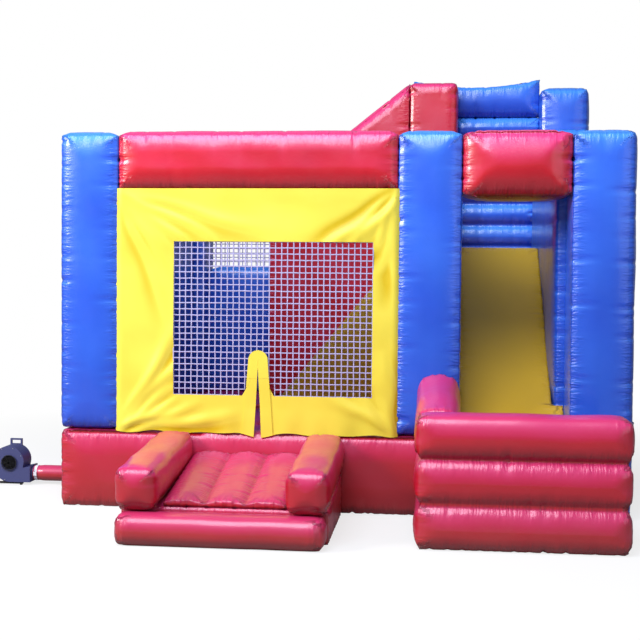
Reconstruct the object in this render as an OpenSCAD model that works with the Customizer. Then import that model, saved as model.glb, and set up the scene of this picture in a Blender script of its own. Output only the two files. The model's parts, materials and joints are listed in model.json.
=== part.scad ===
// Inflatable bounce house with a climbing wedge, a slide tower, an entrance ramp and a slide exit pen.
// Millimetres, +Z up. The origin is the centre of the house's footprint, on the ground.
// -Y is the front, where the entrance ramp and the slide exit are. Every air chamber is its own solid.

/* [House] */
// Width over the outer sides of the front columns
house_w = 4600; // [4500:50:5000]
// Depth from the front of the front columns to the back of the rear columns
house_d = 3500; // [3400:50:3900]
// Height of the inflated base that the floor, the columns and the walls stand on
base_h = 640; // [580:10:700]
// Height of the tops of the front columns and of the beams above the ground
wall_top = 3050; // [3000:10:3200]
// How far the side of a chamber falls back at its seams
puff = 45; // [42:1:60]
// Length over which the side of a chamber falls back
puff_run = 225; // [190:5:225]
// Thickness that is left round the air in a chamber, where its side falls back most
skin = 12; // [8:1:16]

/* [Columns and beams] */
// Side of the square front columns
col_w = 500; // [450:10:530]
// Width of the rear left corner column
corner_w = 600; // [500:10:650]
// Depth of the two rear corner columns
rear_d = 500; // [480:10:540]
// Height of the beams over the bounce room
beam_h = 480; // [430:10:530]
// Height of the fat beam over the slide
slide_beam_h = 550; // [480:10:600]
// Length over which the side of a beam falls back
beam_run = 180; // [150:5:190]
// How far the slide beam stands in front of the columns
slide_beam_proud = 40; // [10:5:60]

/* [Walls] */
// Thickness of the left wall
left_wall_t = 400; // [300:10:430]
// Thickness of the rear wall and of the beams above it
rear_wall_t = 300; // [240:10:340]
// Height of the top of the rear wall, under its net
rear_wall_top = 2000; // [1700:20:2200]
// Height of the walls on both sides of the slide
slide_wall_top = 2950; // [2700:10:3000]
// Number of upright tubes in the left wall
left_tubes = 6; // [4:1:8]

/* [Tower] */
// Height of the platform above the ground
platform_h = 2180; // [2000:10:2300]
// Depth of the platform, from the top of the slide to the guard wall
platform_d = 900; // [800:10:1000]
// Thickness of the red guard wall behind the climb
guard_t = 250; // [220:10:280]
// Left end of the guard wall, measured from the middle column
guard_run = 1460; // [1400:10:1550]
// Height of the guard wall's low end
guard_low = 2760; // [2600:10:2900]
// How far the guard wall's high end lies under the ends of the tower's rear beam
guard_drop = 70; // [30:10:230]
// Width of the end block of the guard wall
block_w = 500; // [460:10:540]
// How far the tower's rear right column ends under the ends of the tower's rear beam
tower_col_drop = 110; // [30:10:230]
// Height of the ends of the tower's rear beam
tower_top = 3980; // [3930:10:4080]
// How far the tower's rear beam sags in the middle
beam_sag = 85; // [40:5:110]
// Height of the tower's rear beam at its ends
tower_beam_h = 400; // [350:10:430]
// How far the right wall's rear end lies under the top of the tower's rear right column
rise_drop = 416; // [320:2:450]
// Height of each level tube of the tower's back wall
tower_tube_h = 230; // [200:10:260]

/* [Slide] */
// Width of the bay between the middle and the right column
slide_bay_w = 850; // [820:10:920]
// Width of the sliding lane
lane_w = 760; // [700:10:800]
// Height of the slide's foot and of the landing pad
pad_h = 300; // [220:10:340]
// How far the slide's foot stands in front of the columns
foot_out = 150; // [60:10:200]

/* [Climb] */
// Length of the climb on the floor, from its toe to the platform
climb_run = 1270; // [1200:10:1340]
// Thickness of the side wall of the climb
climb_side_t = 200; // [160:10:240]
// How far the climbing face lies under the top of its side wall
climb_drop = 160; // [120:10:200]
// Number of steps on the climbing face
climb_steps_n = 4; // [3:1:5]
// Radius of the round steps
step_r = 70; // [50:5:80]
// Width of the webbing of the handles
web_w = 40; // [30:1:50]
// Thickness of the webbing
web_t = 5; // [4:0.5:6]
// Height of the room for the hand under a webbing handle
hand_room = 55; // [45:1:70]
// Half the span of a webbing handle
handle_half = 95; // [80:1:105]
// Length that is sewn down at each end of a handle
handle_sewn = 45; // [30:1:50]

/* [Front panel] */
// Distance of the yellow front panel behind the fronts of the columns
panel_back = 30; // [20:1:33]
// Thickness of the front panel
panel_t = 8; // [5:0.5:8]
// Thickness of the nets
net_t = 4; // [3:0.5:5]
// Width of the front window
window_w = 1600; // [1400:10:1700]
// Height of the window's lower edge
window_z = 930; // [900:10:960]
// Height of the window
window_h = 1230; // [1000:10:1300]
// Distance from the bay's left side to the window
window_in = 460; // [400:10:510]
// Distance from the bay's left side to the entrance slit
slit_in = 1150; // [1100:10:1180]
// Height of the top of the entrance slit
slit_top = 1160; // [1100:10:1240]
// Length of the slit's upper end, above the two flaps
slit_end = 90; // [88:1:120]
// Width of the slit at its bottom
slit_w = 60; // [40:2:70]
// Width of each triangular entrance flap along the bottom
flap_w = 300; // [240:10:340]
// Width of each leg of the trim round the slit
trim_w = 105; // [90:1:115]
// Thickness of the trim
trim_t = 12; // [10:1:12]
// Gap between a flap and what it folds from
fold_gap = 0.6; // [0.4:0.1:0.9]

/* [Entrance ramp] */
// Width over the outer sides of the two bolsters
ramp_w = 1530; // [1400:10:1600]
// Distance from the bay's left side to the middle of the ramp
ramp_in = 1085; // [1060:5:1130]
// How far the ramp stands out from the base
ramp_len = 1320; // [1200:10:1450]
// Width of each bolster
bolster_w = 320; // [280:10:340]
// Height of each bolster
bolster_h = 320; // [280:10:330]
// Length of the lip tube at the front of the ramp
lip_d = 260; // [220:10:300]
// How far the bolsters end behind the front of the lip tube
bolster_back = 80; // [60:5:120]
// Height of the ramp pad at the base
ramp_back_h = 330; // [310:5:340]
// Height of the ramp pad behind the lip
ramp_front_h = 240; // [220:5:250]
// Height of the channels above the pad, at the base
channel_back = 160; // [130:5:180]
// Height of the channels above the pad, at the lip
channel_front = 55; // [40:5:60]
// Number of channels between the bolsters
channels_n = 3; // [2:1:4]

/* [Exit pen] */
// Thickness of the pen's walls
pen_t = 330; // [280:10:350]
// How far the pen stands out from the columns
pen_len = 1150; // [1100:10:1300]
// Length of the pen's front wall
pen_w = 1500; // [1420:10:1560]
// Height of each of the three tubes of the pen's walls
pen_tube_h = 315; // [290:5:330]
// Number of tubes in the pen's walls
pen_tubes = 3; // [3:1:3]
// How much higher the pen's left wall is at the house
pen_rise = 190; // [120:10:220]

/* [Floor] */
// Number of channels in the bounce floor
floor_channels = 8; // [6:1:10]
// Depth of the grooves between the channels
groove = 45; // [30:1:55]

/* [Anchors] */
// Radius of the wire of an anchor ring
ring_wire = 5; // [4:0.5:6]
// Inside radius of the round part of an anchor ring
ring_r = 26; // [22:1:30]
// Height of the lower anchor rings above the base
ring_up = 110; // [90:5:160]
// Distance of the upper anchor rings below the tops of the columns
ring_down = 130; // [110:5:200]

/* [Deflation zip] */
// Length of the zip on the back of the base
zip_len = 700; // [500:10:800]
// Width of the zip's tape
zip_w = 44; // [36:1:50]
// Height of the zip above the ground
zip_z = 300; // [290:5:320]
// Length of the zip's slider
slider_l = 34; // [28:1:40]
// How far the cover stands off the tape
cover_off = 16; // [15:0.5:20]
// Thickness of the cover
cover_t = 3; // [2:0.5:4]
// Height of the cover
cover_h = 110; // [100:5:120]

/* [Blower] */
// Distance of the fan's axis from the left side of the house
fan_out = 730; // [700:10:800]
// Distance of the fan's axis behind the fronts of the columns
fan_back = 960; // [900:10:1100]
// Height of the fan's axis
fan_z = 200; // [196:1:210]
// Width of the fan housing, along the fan's axis
fan_w = 200; // [180:5:230]
// Radius of the fan housing where its spiral starts
spiral_r = 132; // [130:1:136]
// Growth of the spiral over a full turn
spiral_grow = 56; // [50:1:58]
// Wall thickness of the housing
shell_t = 3; // [2.5:0.5:4]
// Radius of the intake opening
intake_r = 62; // [56:1:66]
// Outer radius of the fan wheel
wheel_r = 105; // [95:1:110]
// Number of blades on the fan wheel
blades = 20; // [14:1:24]
// Radius of the round outlet
outlet_r = 62; // [56:1:64]
// Height of the outlet's axis above the ground
outlet_z = 100; // [96:1:104]
// Radius of the motor
motor_r = 48; // [44:1:54]
// Length of the motor
motor_l = 110; // [90:5:130]
// Radius of the motor shaft
shaft_r = 6; // [5:0.5:8]
// Radial clearance of the shaft in its bearing
shaft_fit = 0.05; // [0.03:0.01:0.08]
// Outer radius of the cloth inflation tube
tube_r = 70; // [69:1:74]

/* [Hidden] */
$fn = 180;

BLUE = "RoyalBlue";
RED = "Crimson";
YELLOW = "Gold";

// The house's own lines
x_l = -house_w / 2;
x_r = house_w / 2;
y_f = -house_d / 2;
y_b = house_d / 2;
x_bay = x_l + col_w;
x_rcol = x_r - col_w;
x_lane = x_rcol - slide_bay_w;
x_mid = x_lane - col_w;
x_lane_r = x_lane + lane_w;
y_room = y_f + col_w;
y_rear = y_b - rear_d;
y_rwall = y_b - rear_wall_t;
y_guard = y_rwall - guard_t;
y_plat = y_guard - platform_d;
beam_z = wall_top - beam_h;
guard_top = tower_top - guard_drop;
tower_col_top = tower_top - tower_col_drop;
x_corner = x_l + corner_w;
x_guard = x_mid - guard_run;
x_block = x_mid + col_w / 2 - block_w / 2;

// Gap between soft solids whose curved faces meet
soft_gap = 0.3;
// How far the bows of neighbouring tubes in one wall cross at their seam
seam_lap = 0.5;
// How far a cut runs past the face that it opens
eps = 1;

// A side shorter than two arcs and this flat strip is one arc from end to end
flat_min = 40;
function arc_half(len, e) = len < 2 * e + flat_min ? len / 2 : e;

// Height by which the arcs are cut off where they cross the flat strip at a slight angle
crown = 0.5;

// Radius of the arc that falls back by s over the length e
function bow(e, s) = (e * e + s * s) / (2 * s);
// How far along the side of a chamber a fall of f is reached, measured from the middle of its arc
function reach(f, e, s) = sqrt(2 * bow(e, s + crown) * (f + crown) - pow(f + crown, 2));

// One bowed side of a soft rectangle: a strip of the length len that falls back by s at both ends
module bowed_side(len, depth, s, e) {
    r = bow(e, s + crown);
    x = r - crown;
    union() {
        translate([x, e]) circle(r);
        if (len > 2 * e) translate([x, len - e]) circle(r);
        if (len > 2 * e) translate([-1, e]) square([depth + 2, len - 2 * e]);
        if (depth > 2 * x - s) translate([x, -1]) square([depth - x + 1, len + 2]);
    }
}

// Rectangle w by h whose left, right, lower and upper sides fall back by s towards their ends
module soft_rect(w, h, s, e) {
    ev = arc_half(h, e);
    eh = arc_half(w, e);
    intersection() {
        square([w, h]);
        if (s[0] > 0) bowed_side(h, w, s[0], ev);
        if (s[1] > 0) translate([w, 0]) mirror([1, 0]) bowed_side(h, w, s[1], ev);
        if (s[2] > 0) rotate(-90) mirror([1, 0]) bowed_side(w, h, s[2], eh);
        if (s[3] > 0) translate([0, h]) mirror([0, 1]) rotate(-90) mirror([1, 0]) bowed_side(w, h, s[3], eh);
    }
}

// 2D outlines drawn in the plane of Y and Z, given a length along X, and in the plane of X and Z, along Y
module along_x(len) { rotate([90, 0, 90]) linear_extrude(len) children(); }
module along_y(len) { translate([0, len, 0]) rotate([90, 0, 0]) linear_extrude(len) children(); }

// Inflated box between two corners. Its sides fall back by s = [left, right, front, back, bottom, top]
module chamber(from, to, s, e = puff_run) {
    d = to - from;
    translate(from) intersection() {
        linear_extrude(d[2]) soft_rect(d[0], d[1], [s[0], s[1], s[2], s[3]], e);
        along_y(d[1]) soft_rect(d[0], d[2], [s[0], s[1], s[4], s[5]], e);
        along_x(d[0]) soft_rect(d[1], d[2], [s[2], s[3], s[4], s[5]], e);
    }
}

// Air in the inflated box between two corners, whose sides fall back by s
module air(from, to, s) {
    low = from + [s[0] + skin, s[2] + skin, s[4] + skin];
    high = to - [s[1] + skin, s[3] + skin, s[5] + skin];
    translate(low) cube(high - low);
}
// Inflated box with the air in it left out
module filled_chamber(from, to, s, e = puff_run) {
    difference() {
        chamber(from, to, s, e);
        air(from, to, s);
    }
}

// Wall along X with a straight sloping top from [x0, z0] to [x1, z1], its foot at zb, and soft upper edges
module sloped_wall(x0, z0, x1, z1, zb, t, s) {
    tilt = atan2(z1 - z0, x1 - x0);
    len = norm([x1 - x0, z1 - z0]);
    deep = max(z0, z1) - zb + len;
    intersection() {
        along_y(t) polygon([[x0, zb], [x1, zb], [x1, z1], [x0, z0]]);
        translate([x0, 0, z0]) rotate([0, -tilt, 0]) translate([-deep, 0, -deep])
            along_x(2 * deep + len) soft_rect(t, deep, [s, s, 0, s], t / 2);
    }
}

// ---- Base ----

module bounce_base() {
    room_w = x_mid - x_bay;
    pitch = room_w / floor_channels;
    color(RED) difference() {
        base_form();
        air([x_l, y_f, 0], [x_lane, y_b, base_h], [puff, 0, puff, puff, 0, groove]);
        for (i = [1 : floor_channels - 1])
            translate([x_bay + i * pitch, y_room, base_h]) rotate([-90, 0, 0])
                linear_extrude(y_plat - y_room - puff) seam_groove(pitch / 3, groove);
    }
}

module base_form() {
    chamber([x_l, y_f, 0], [x_lane, y_b, base_h], [puff, 0, puff, puff, 0, puff / 2]);
}

// Pointed groove between two air channels, with bowed sides, cut downwards
module seam_groove(half, deep) {
    r = bow(half, deep);
    difference() {
        translate([-half, -1]) square([2 * half, deep + 1]);
        for (side = [-1, 1]) translate([side * half, r]) circle(r);
    }
}

module slide_base() {
    color(RED) filled_chamber([x_lane, y_room, 0], [x_r, y_b, base_h], [0, puff, 0, puff, 0, 0]);
}

// ---- Columns and beams ----

module column_front_left() {
    color(BLUE) filled_chamber([x_l, y_f, base_h], [x_bay, y_room, wall_top], [puff, 0, puff, 0, 0, puff]);
}
module column_front_middle() {
    color(BLUE) filled_chamber([x_mid, y_f, base_h], [x_lane, y_room, wall_top], [0, 0, puff, 0, 0, puff]);
}
module column_front_right() {
    color(BLUE) filled_chamber([x_rcol, y_f, 0], [x_r, y_room, wall_top], [0, puff, puff, 0, 0, puff]);
}
module column_rear_left() {
    color(BLUE) filled_chamber([x_l, y_rear, base_h], [x_corner, y_b, wall_top], [puff, 0, 0, puff, 0, puff]);
}
module column_rear_middle() {
    color(BLUE) filled_chamber([x_mid, y_rwall, base_h], [x_lane, y_b, tower_top - tower_beam_h],
        [0, 0, 0, puff, 0, 0]);
}
module column_rear_right() {
    color(BLUE) filled_chamber([x_rcol, y_rear, base_h], [x_r, y_b, tower_col_top], [0, puff, puff, puff, 0, puff]);
}

module beam_front() {
    color(RED) filled_chamber([x_bay, y_f, beam_z], [x_mid, y_room, wall_top], [0, 0, puff, puff, 0, puff],
        beam_run);
}
module beam_slide() {
    z = wall_top - slide_beam_h;
    color(RED) filled_chamber([x_lane, y_f - slide_beam_proud, z], [x_rcol, y_room, wall_top],
        [0, 0, 2 * puff, 2 * puff, puff, puff], slide_beam_h / 2);
}
module beam_left() {
    color(RED) filled_chamber([x_l, y_room, beam_z], [x_bay, y_rear, wall_top], [puff, puff, 0, 0, 0, puff],
        beam_run);
}
module beam_rear() {
    color(RED) filled_chamber([x_corner, y_rwall, beam_z], [x_mid, y_b, wall_top],
        [0, 0, puff / 2, puff, 0, puff], beam_run);
}

// ---- Walls ----

// Tubes side by side: an outline whose long sides are a row of bows, each a little into the next
module tube_row(len, t, n, s) {
    pitch = len / n;
    bow_len = pitch + seam_lap;
    intersection() {
        square([t, len]);
        for (i = [0 : n - 1]) translate([0, i * pitch - seam_lap / 2])
            soft_rect(t, bow_len, [s, s, 0, 0], bow_len / 2);
    }
}

module left_wall() {
    fall = puff / 2;
    color(BLUE) difference() {
        translate([x_bay - left_wall_t, y_room, base_h]) linear_extrude(beam_z - base_h)
            tube_row(y_rear - y_room, left_wall_t, left_tubes, fall);
        air([x_bay - left_wall_t, y_room, base_h], [x_bay, y_rear, beam_z], [fall, fall, 0, 0, 0, 0]);
    }
}
module rear_wall() {
    color(BLUE) filled_chamber([x_corner, y_rwall, base_h], [x_mid, y_b, rear_wall_top],
        [0, 0, puff / 2, puff, 0, puff]);
}
module divider_wall() {
    color(BLUE) filled_chamber([x_mid, y_room, base_h], [x_lane, y_plat, slide_wall_top],
        [puff / 2, puff / 2, 0, puff / 2, 0, puff]);
}
// Thick wall beside the slide, which rises to the tower at its rear end
module right_wall() {
    up = tower_col_top - rise_drop;
    slope_len = up - slide_wall_top;
    falls = [puff / 2, puff, 0, 0, 0, puff];
    color(BLUE) difference() {
        intersection() {
            chamber([x_lane_r, y_room, base_h], [x_r, y_rear, up], falls);
            translate([x_lane_r, 0, 0]) along_x(x_r - x_lane_r) polygon([[y_room, base_h], [y_rear, base_h],
                [y_rear, up], [y_rear - slope_len, slide_wall_top], [y_room, slide_wall_top]]);
        }
        air([x_lane_r, y_room, base_h], [x_r, y_rear, slide_wall_top], falls);
    }
}

// ---- Tower ----

module guard_wall() {
    color(RED) difference() {
        translate([0, y_guard, 0]) sloped_wall(x_guard, guard_low, x_block, guard_top, base_h, guard_t, puff);
        air([x_guard, y_guard, base_h], [x_block, y_rwall, guard_low], [0, 0, puff, puff, 0, puff]);
    }
}
module guard_block() {
    color(RED) filled_chamber([x_block, y_guard, base_h], [x_block + block_w, y_rwall, guard_top],
        [0, puff / 2, puff / 2, 0, 0, puff / 2], guard_t / 2);
}
// Stack of level tubes behind the platform
module tower_back_wall() {
    top = tower_top - tower_beam_h;
    n = round((top - base_h) / tower_tube_h);
    color(BLUE) difference() {
        translate([x_lane, y_rwall, base_h]) along_x(x_rcol - x_lane)
            tube_row(top - base_h, rear_wall_t, n, puff);
        air([x_lane, y_rwall, base_h], [x_rcol, y_b, top], [0, 0, puff, puff, 0, 0]);
    }
}
// Sagging beam across the back of the tower, on the rear middle column and the back wall
module tower_back_beam() {
    span = x_rcol - x_mid;
    r = bow(span / 2, beam_sag);
    color(BLUE) difference() {
        chamber([x_mid, y_rwall, tower_top - tower_beam_h], [x_rcol, y_b, tower_top], [puff, 0, puff, puff, 0, 0]);
        translate([x_mid + span / 2, y_rwall - 1, tower_top - beam_sag + r]) rotate([-90, 0, 0])
            cylinder(r = r, h = rear_wall_t + 2, $fn = 360);
    }
}
module platform() {
    x_end = x_block + block_w;
    color(YELLOW) difference() {
        union() {
            translate([x_mid, y_plat, base_h]) cube([x_lane_r - x_mid, y_guard - y_plat, platform_h - base_h]);
            translate([x_end, y_guard - 1, base_h])
                cube([x_lane_r - x_end, y_rwall - y_guard + 1, platform_h - base_h]);
        }
        air([x_mid, y_plat, base_h], [x_lane_r, y_guard, platform_h], [0, 0, 0, 0, 0, 0]);
    }
}

// ---- Climb ----

climb_tilt = atan2(platform_h - base_h, climb_run);
x_toe = x_mid - climb_run;
y_climb = y_plat + climb_side_t;
climb_len = norm([climb_run, platform_h - base_h]);
drop_x = climb_drop / sin(climb_tilt);

module climb_side_wall() {
    color(YELLOW) translate([0, y_plat, 0])
        sloped_wall(x_toe, base_h, x_mid, platform_h, base_h, climb_side_t, puff / 2);
}
module climb_ramp() {
    color(YELLOW) translate([0, y_climb, 0]) along_y(y_guard - y_climb)
        polygon([[x_toe + drop_x, base_h], [x_mid, base_h], [x_mid, platform_h - drop_x * tan(climb_tilt)]]);
}
// Half-round tubes across the climbing face
module climb_steps() {
    pitch = (climb_len - 2 * drop_x) / climb_steps_n;
    color(RED) for (i = [0 : climb_steps_n - 1]) {
        translate([x_toe + drop_x, y_climb, base_h]) rotate([0, -climb_tilt, 0])
            translate([(i + 0.75) * pitch, 0, 0]) intersection() {
                rotate([-90, 0, 0]) cylinder(r = step_r, h = y_guard - y_climb);
                translate([-step_r, 0, 0]) cube([2 * step_r, y_guard - y_climb, step_r]);
            }
    }
}
// Webbing loops between the steps, sewn down at both ends
module climb_handles() {
    pitch = (climb_len - 2 * drop_x) / climb_steps_n;
    color(BLUE) for (i = [1 : climb_steps_n - 1]) {
        translate([x_toe + drop_x, (y_climb + y_guard) / 2, base_h]) rotate([0, -climb_tilt, 0])
            translate([(i + 0.25) * pitch - web_w / 2, 0, 0]) along_x(web_w)
                handle_outline(handle_half, hand_room, web_t, handle_sewn);
    }
}
// Arch of webbing: half its span, its clear height, its thickness and the length sewn down at each end
module handle_outline(half, clear, t, sewn) {
    r = bow(half, clear);
    ro = r + t;
    union() {
        intersection() {
            difference() {
                translate([0, clear - r]) circle(ro);
                translate([0, clear - r]) circle(r);
            }
            translate([-half - t - sewn, 0]) square([2 * (half + t + sewn), clear + t]);
        }
        for (side = [0, 1]) mirror([side, 0]) translate([half, 0]) square([sewn, t]);
    }
}

// ---- Slide ----

slide_slope = (platform_h - pad_h) / (y_plat - y_f + foot_out);
function slide_z(y) = pad_h + (y - y_f + foot_out) * slide_slope;

module slide_chute() {
    foot = y_f - foot_out;
    under = skin * sqrt(1 + slide_slope * slide_slope);
    y0 = y_room + skin;
    y1 = y_plat - skin;
    color(YELLOW) difference() {
        union() {
            translate([x_lane, 0, 0]) along_x(x_rcol - x_lane)
                polygon([[foot, 0], [y_room, 0], [y_room, slide_z(y_room)], [foot, pad_h]]);
            translate([x_lane, 0, 0]) along_x(lane_w) polygon([[y_room - 1, base_h], [y_plat, base_h],
                [y_plat, platform_h], [y_room - 1, slide_z(y_room - 1)]]);
        }
        translate([x_lane + skin, 0, 0]) along_x(lane_w - 2 * skin) polygon([[y0, base_h + skin],
            [y1, base_h + skin], [y1, slide_z(y1) - under], [y0, slide_z(y0) - under]]);
    }
}
module landing_pad() {
    foot = y_f - foot_out;
    x_end = x_lane - pen_t + pen_w;
    front = y_f - pen_len + pen_t;
    color(YELLOW) linear_extrude(pad_h) polygon([[x_lane, front], [x_end, front], [x_end, y_f],
        [x_rcol, y_f], [x_rcol, foot], [x_lane, foot]]);
}

// ---- Exit pen ----

// Outline of level tubes on top of each other, with the fall s at both ends of each and top over the last
module tube_stack(w, n, s, top) {
    for (i = [0 : n - 1]) translate([0, i * pen_tube_h])
        soft_rect(w, pen_tube_h, [s, s, 0, i == pen_tubes - 1 ? top : 0], pen_tube_h / 2);
}
module exit_front_wall() {
    side = 1.3 * puff;
    color(RED) translate([x_lane - pen_t, y_f - pen_len, 0]) intersection() {
        linear_extrude(pen_tubes * pen_tube_h) soft_rect(pen_w, pen_t, [puff, puff, side, side], pen_tube_h / 2);
        along_y(pen_t) tube_stack(pen_w, pen_tubes, puff, puff);
        along_x(pen_w) tube_stack(pen_t, pen_tubes, side, puff);
    }
}
module exit_left_wall() {
    side = 1.3 * puff;
    y0 = y_f - pen_len + pen_t;
    z = (pen_tubes - 1) * pen_tube_h;
    color(RED) union() {
        translate([x_lane, y0, 0]) rotate([0, 0, 90]) along_x(pen_len - pen_t) tube_stack(pen_t, pen_tubes - 1, side, 0);
        translate([x_lane, 0, 0]) rotate([0, 0, 90])
            sloped_wall(y0, z + pen_tube_h, y_f, z + pen_tube_h + pen_rise, z, pen_t, side);
    }
}

// ---- Entrance ramp ----

x_ramp = x_bay + ramp_in;
ramp_run = ramp_len - lip_d;
ramp_tilt = atan2(ramp_back_h - ramp_front_h, ramp_run);
x_ramp_l = x_ramp - ramp_w / 2;
pad_in = 20;

module ramp_pad() {
    w = ramp_w - 2 * pad_in;
    color(RED) translate([x_ramp_l + pad_in, 0, 0]) along_x(w)
        polygon([[y_f - ramp_run, 0], [y_f, 0], [y_f, ramp_back_h], [y_f - ramp_run, ramp_front_h]]);
}
// Tube across the front of the ramp. The bolsters reach over it
module ramp_lip() {
    lip_top = ramp_front_h - (lip_d - bolster_back) * tan(ramp_tilt) - soft_gap;
    color(RED) chamber([x_ramp_l + pad_in, y_f - ramp_len, 0], [x_ramp_l + ramp_w - pad_in, y_f - ramp_run, lip_top],
        [puff, puff, 1.5 * puff, 0, 0, puff / 2], lip_top / 2);
}
// Padded strips between the bolsters, rising to the floor
module ramp_channels() {
    x0 = x_ramp_l + bolster_w;
    w = (ramp_w - 2 * bolster_w) / channels_n;
    rise = (channel_back - channel_front) / ramp_run;
    color(RED) for (i = [0 : channels_n - 1]) translate([x0 + i * w, 0, 0]) intersection() {
        along_x(w) polygon([[y_f - ramp_run, ramp_front_h], [y_f, ramp_back_h], [y_f, ramp_back_h + channel_back],
            [y_f - ramp_run, ramp_front_h + channel_front]]);
        translate([0, y_f - ramp_run, ramp_front_h]) rotate([atan2(ramp_back_h + channel_back - ramp_front_h
            - channel_front, ramp_run), 0, 0]) translate([0, -2 * blank_over, channel_front - 2 * channel_back])
            along_y(2 * ramp_len) soft_rect(w, 2 * channel_back, [0, 0, 0, puff / 2], w / 2);
    }
}
// How far the blanks of the ramp run on past the planes that cut them
blank_over = 50;
module bolster(x0) {
    back = bolster_h * sin(ramp_tilt) + blank_over;
    len = ramp_len - bolster_back;
    color(RED) intersection() {
        translate([x0, y_f, ramp_back_h]) rotate([ramp_tilt, 0, 0]) translate([0, -len, 0])
            chamber([0, 0, 0], [bolster_w, len + back, bolster_h], [puff, puff, 1.5 * puff, 0, 0, puff], bolster_w / 2);
        translate([x0 - eps, y_f - ramp_len, 0]) cube([bolster_w + 2 * eps, ramp_len, base_h + bolster_h]);
    }
}
module ramp_bolster_left() { bolster(x_ramp_l); }
module ramp_bolster_right() { bolster(x_ramp_l + ramp_w - bolster_w); }

// ---- Front panel, net and entrance ----

y_panel = y_f + panel_back;
panel_fit = panel_back + panel_t + fold_gap;
// How far the panel reaches over a neighbour whose side falls back over the length e
function lap_over(e) = e - reach(panel_fit, e, puff);
lap = lap_over(puff_run);
hem_z = base_h - lap;
panel_top = beam_z + lap_over(beam_run);
x_win = x_bay + window_in;
x_slit = x_bay + slit_in;

flap_top = slit_top - slit_end;
// Half the width of the slit, and the distance of a flap's fold from its middle, at the height z
function slit_half(z) = fold_gap + (slit_w / 2 - fold_gap) * (slit_top - z) / (slit_top - hem_z);
function fold_x(z) = flap_w * (slit_top - z) / (slit_top - hem_z);

// Everything that the two flaps and the slit take out of the panel
module entrance_cut() {
    translate([x_slit, 0]) for (side = [0, 1]) mirror([side, 0]) polygon([[-fold_gap, hem_z - 1],
        [flap_w + fold_gap, hem_z - 1], [fold_x(flap_top) + fold_gap, flap_top + fold_gap],
        [slit_half(flap_top), flap_top + fold_gap], [fold_gap, slit_top], [-fold_gap, slit_top]]);
}
// One flap: from the slit's upper end down to the hem, on the side dir of the slit
module flap_plan(dir) {
    translate([x_slit, 0]) mirror([dir < 0 ? 1 : 0, 0]) polygon([[slit_half(flap_top), flap_top - fold_gap],
        [fold_x(flap_top) - fold_gap, flap_top - fold_gap], [flap_w - fold_gap, hem_z], [slit_w / 2, hem_z]]);
}
// Upside-down U round the slit
module trim_plan() {
    translate([x_slit, 0]) {
        difference() {
            translate([0, slit_top]) circle(trim_w + slit_w / 2);
            translate([-flap_w, slit_top - flap_w]) square([2 * flap_w, flap_w]);
        }
        for (side = [-1, 1]) translate([side * (slit_w + trim_w) / 2, (slit_top + hem_z) / 2])
            square([trim_w, slit_top - hem_z], center = true);
        translate([-slit_w / 2 - 1, slit_top - 1]) square([slit_w + 2, trim_w / 2]);
    }
}
module window_plan() {
    translate([x_win, window_z]) square([window_w, window_h]);
}

module front_panel() {
    color(YELLOW) translate([0, y_panel, 0]) along_y(panel_t) difference() {
        translate([x_bay - lap, hem_z]) square([x_mid - x_bay + 2 * lap, panel_top - hem_z]);
        window_plan();
        entrance_cut();
    }
}
module front_net() {
    color("GhostWhite") translate([0, y_panel + (panel_t - net_t) / 2, 0]) along_y(net_t) difference() {
        window_plan();
        entrance_cut();
    }
}
module slit_trim() {
    color(YELLOW) translate([0, y_panel - trim_t, 0]) along_y(trim_t) difference() {
        trim_plan();
        entrance_cut();
    }
}
module entrance_flap(dir) {
    color(YELLOW) union() {
        translate([0, y_panel, 0]) along_y(panel_t) flap_plan(dir);
        translate([0, y_panel - trim_t, 0]) along_y(trim_t + 1) intersection() {
            flap_plan(dir);
            trim_plan();
        }
    }
}
module entrance_flap_left() { entrance_flap(-1); }
module entrance_flap_right() { entrance_flap(1); }
module rear_net() {
    color("GhostWhite") translate([x_corner, (y_rwall + y_b) / 2, rear_wall_top])
        cube([x_mid - x_corner, net_t, beam_z - rear_wall_top]);
}

// ---- Anchors ----

ring_fit = 0.1;
tab_w = 2 * ring_r - 8;
tab_h = 90;
ring_axis_out = web_t + ring_wire + ring_fit + 4;

// One entry for each ring: x of the face, y, height of the ring's axis, and the way the face looks
function ring_spot(i) =
    i == 0 ? [x_l, (y_f + y_room) / 2, base_h + ring_up, -1] :
    i == 1 ? [x_r, (y_f + y_room) / 2, base_h + ring_up, 1] :
    i == 2 ? [x_l, (y_rear + y_b) / 2, base_h + ring_up, -1] :
    i == 3 ? [x_r, (y_rear + y_b) / 2, base_h + ring_up, 1] :
    [x_l, (y_f + y_room) / 2, wall_top - ring_down, -1];

module at_spot(i) {
    p = ring_spot(i);
    translate([p[0], p[1], p[2]]) mirror([p[3] < 0 ? 1 : 0, 0, 0]) children();
}
// Webbing patch on the column, with a sewn loop round the straight bar of the ring
module anchor_tabs() {
    color("Navy") for (i = [0 : 4]) difference() {
        at_spot(i) anchor_tab();
        translate([ring_spot(i)[3] * soft_gap, 0, 0]) ring_column(i);
    }
}
// One tab. Its patch reaches inwards as far as the column falls back there
module anchor_tab() {
    loop_r = ring_wire + ring_fit + web_t;
    difference() {
        union() {
            translate([-puff, -tab_w / 2, -tab_h / 2]) cube([puff + web_t, tab_w, tab_h]);
            translate([ring_axis_out, -tab_w / 2, 0]) rotate([-90, 0, 0]) cylinder(r = loop_r, h = tab_w);
            translate([0, -tab_w / 2, -loop_r]) cube([ring_axis_out, tab_w, 2 * loop_r]);
        }
        translate([ring_axis_out, -tab_w, 0]) rotate([-90, 0, 0]) cylinder(r = ring_wire + ring_fit, h = 2 * tab_w);
    }
}
// The column that carries ring i
module ring_column(i) {
    if (i == 0 || i == 4) column_front_left();
    if (i == 1) column_front_right();
    if (i == 2) column_rear_left();
    if (i == 3) column_rear_right();
}
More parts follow.
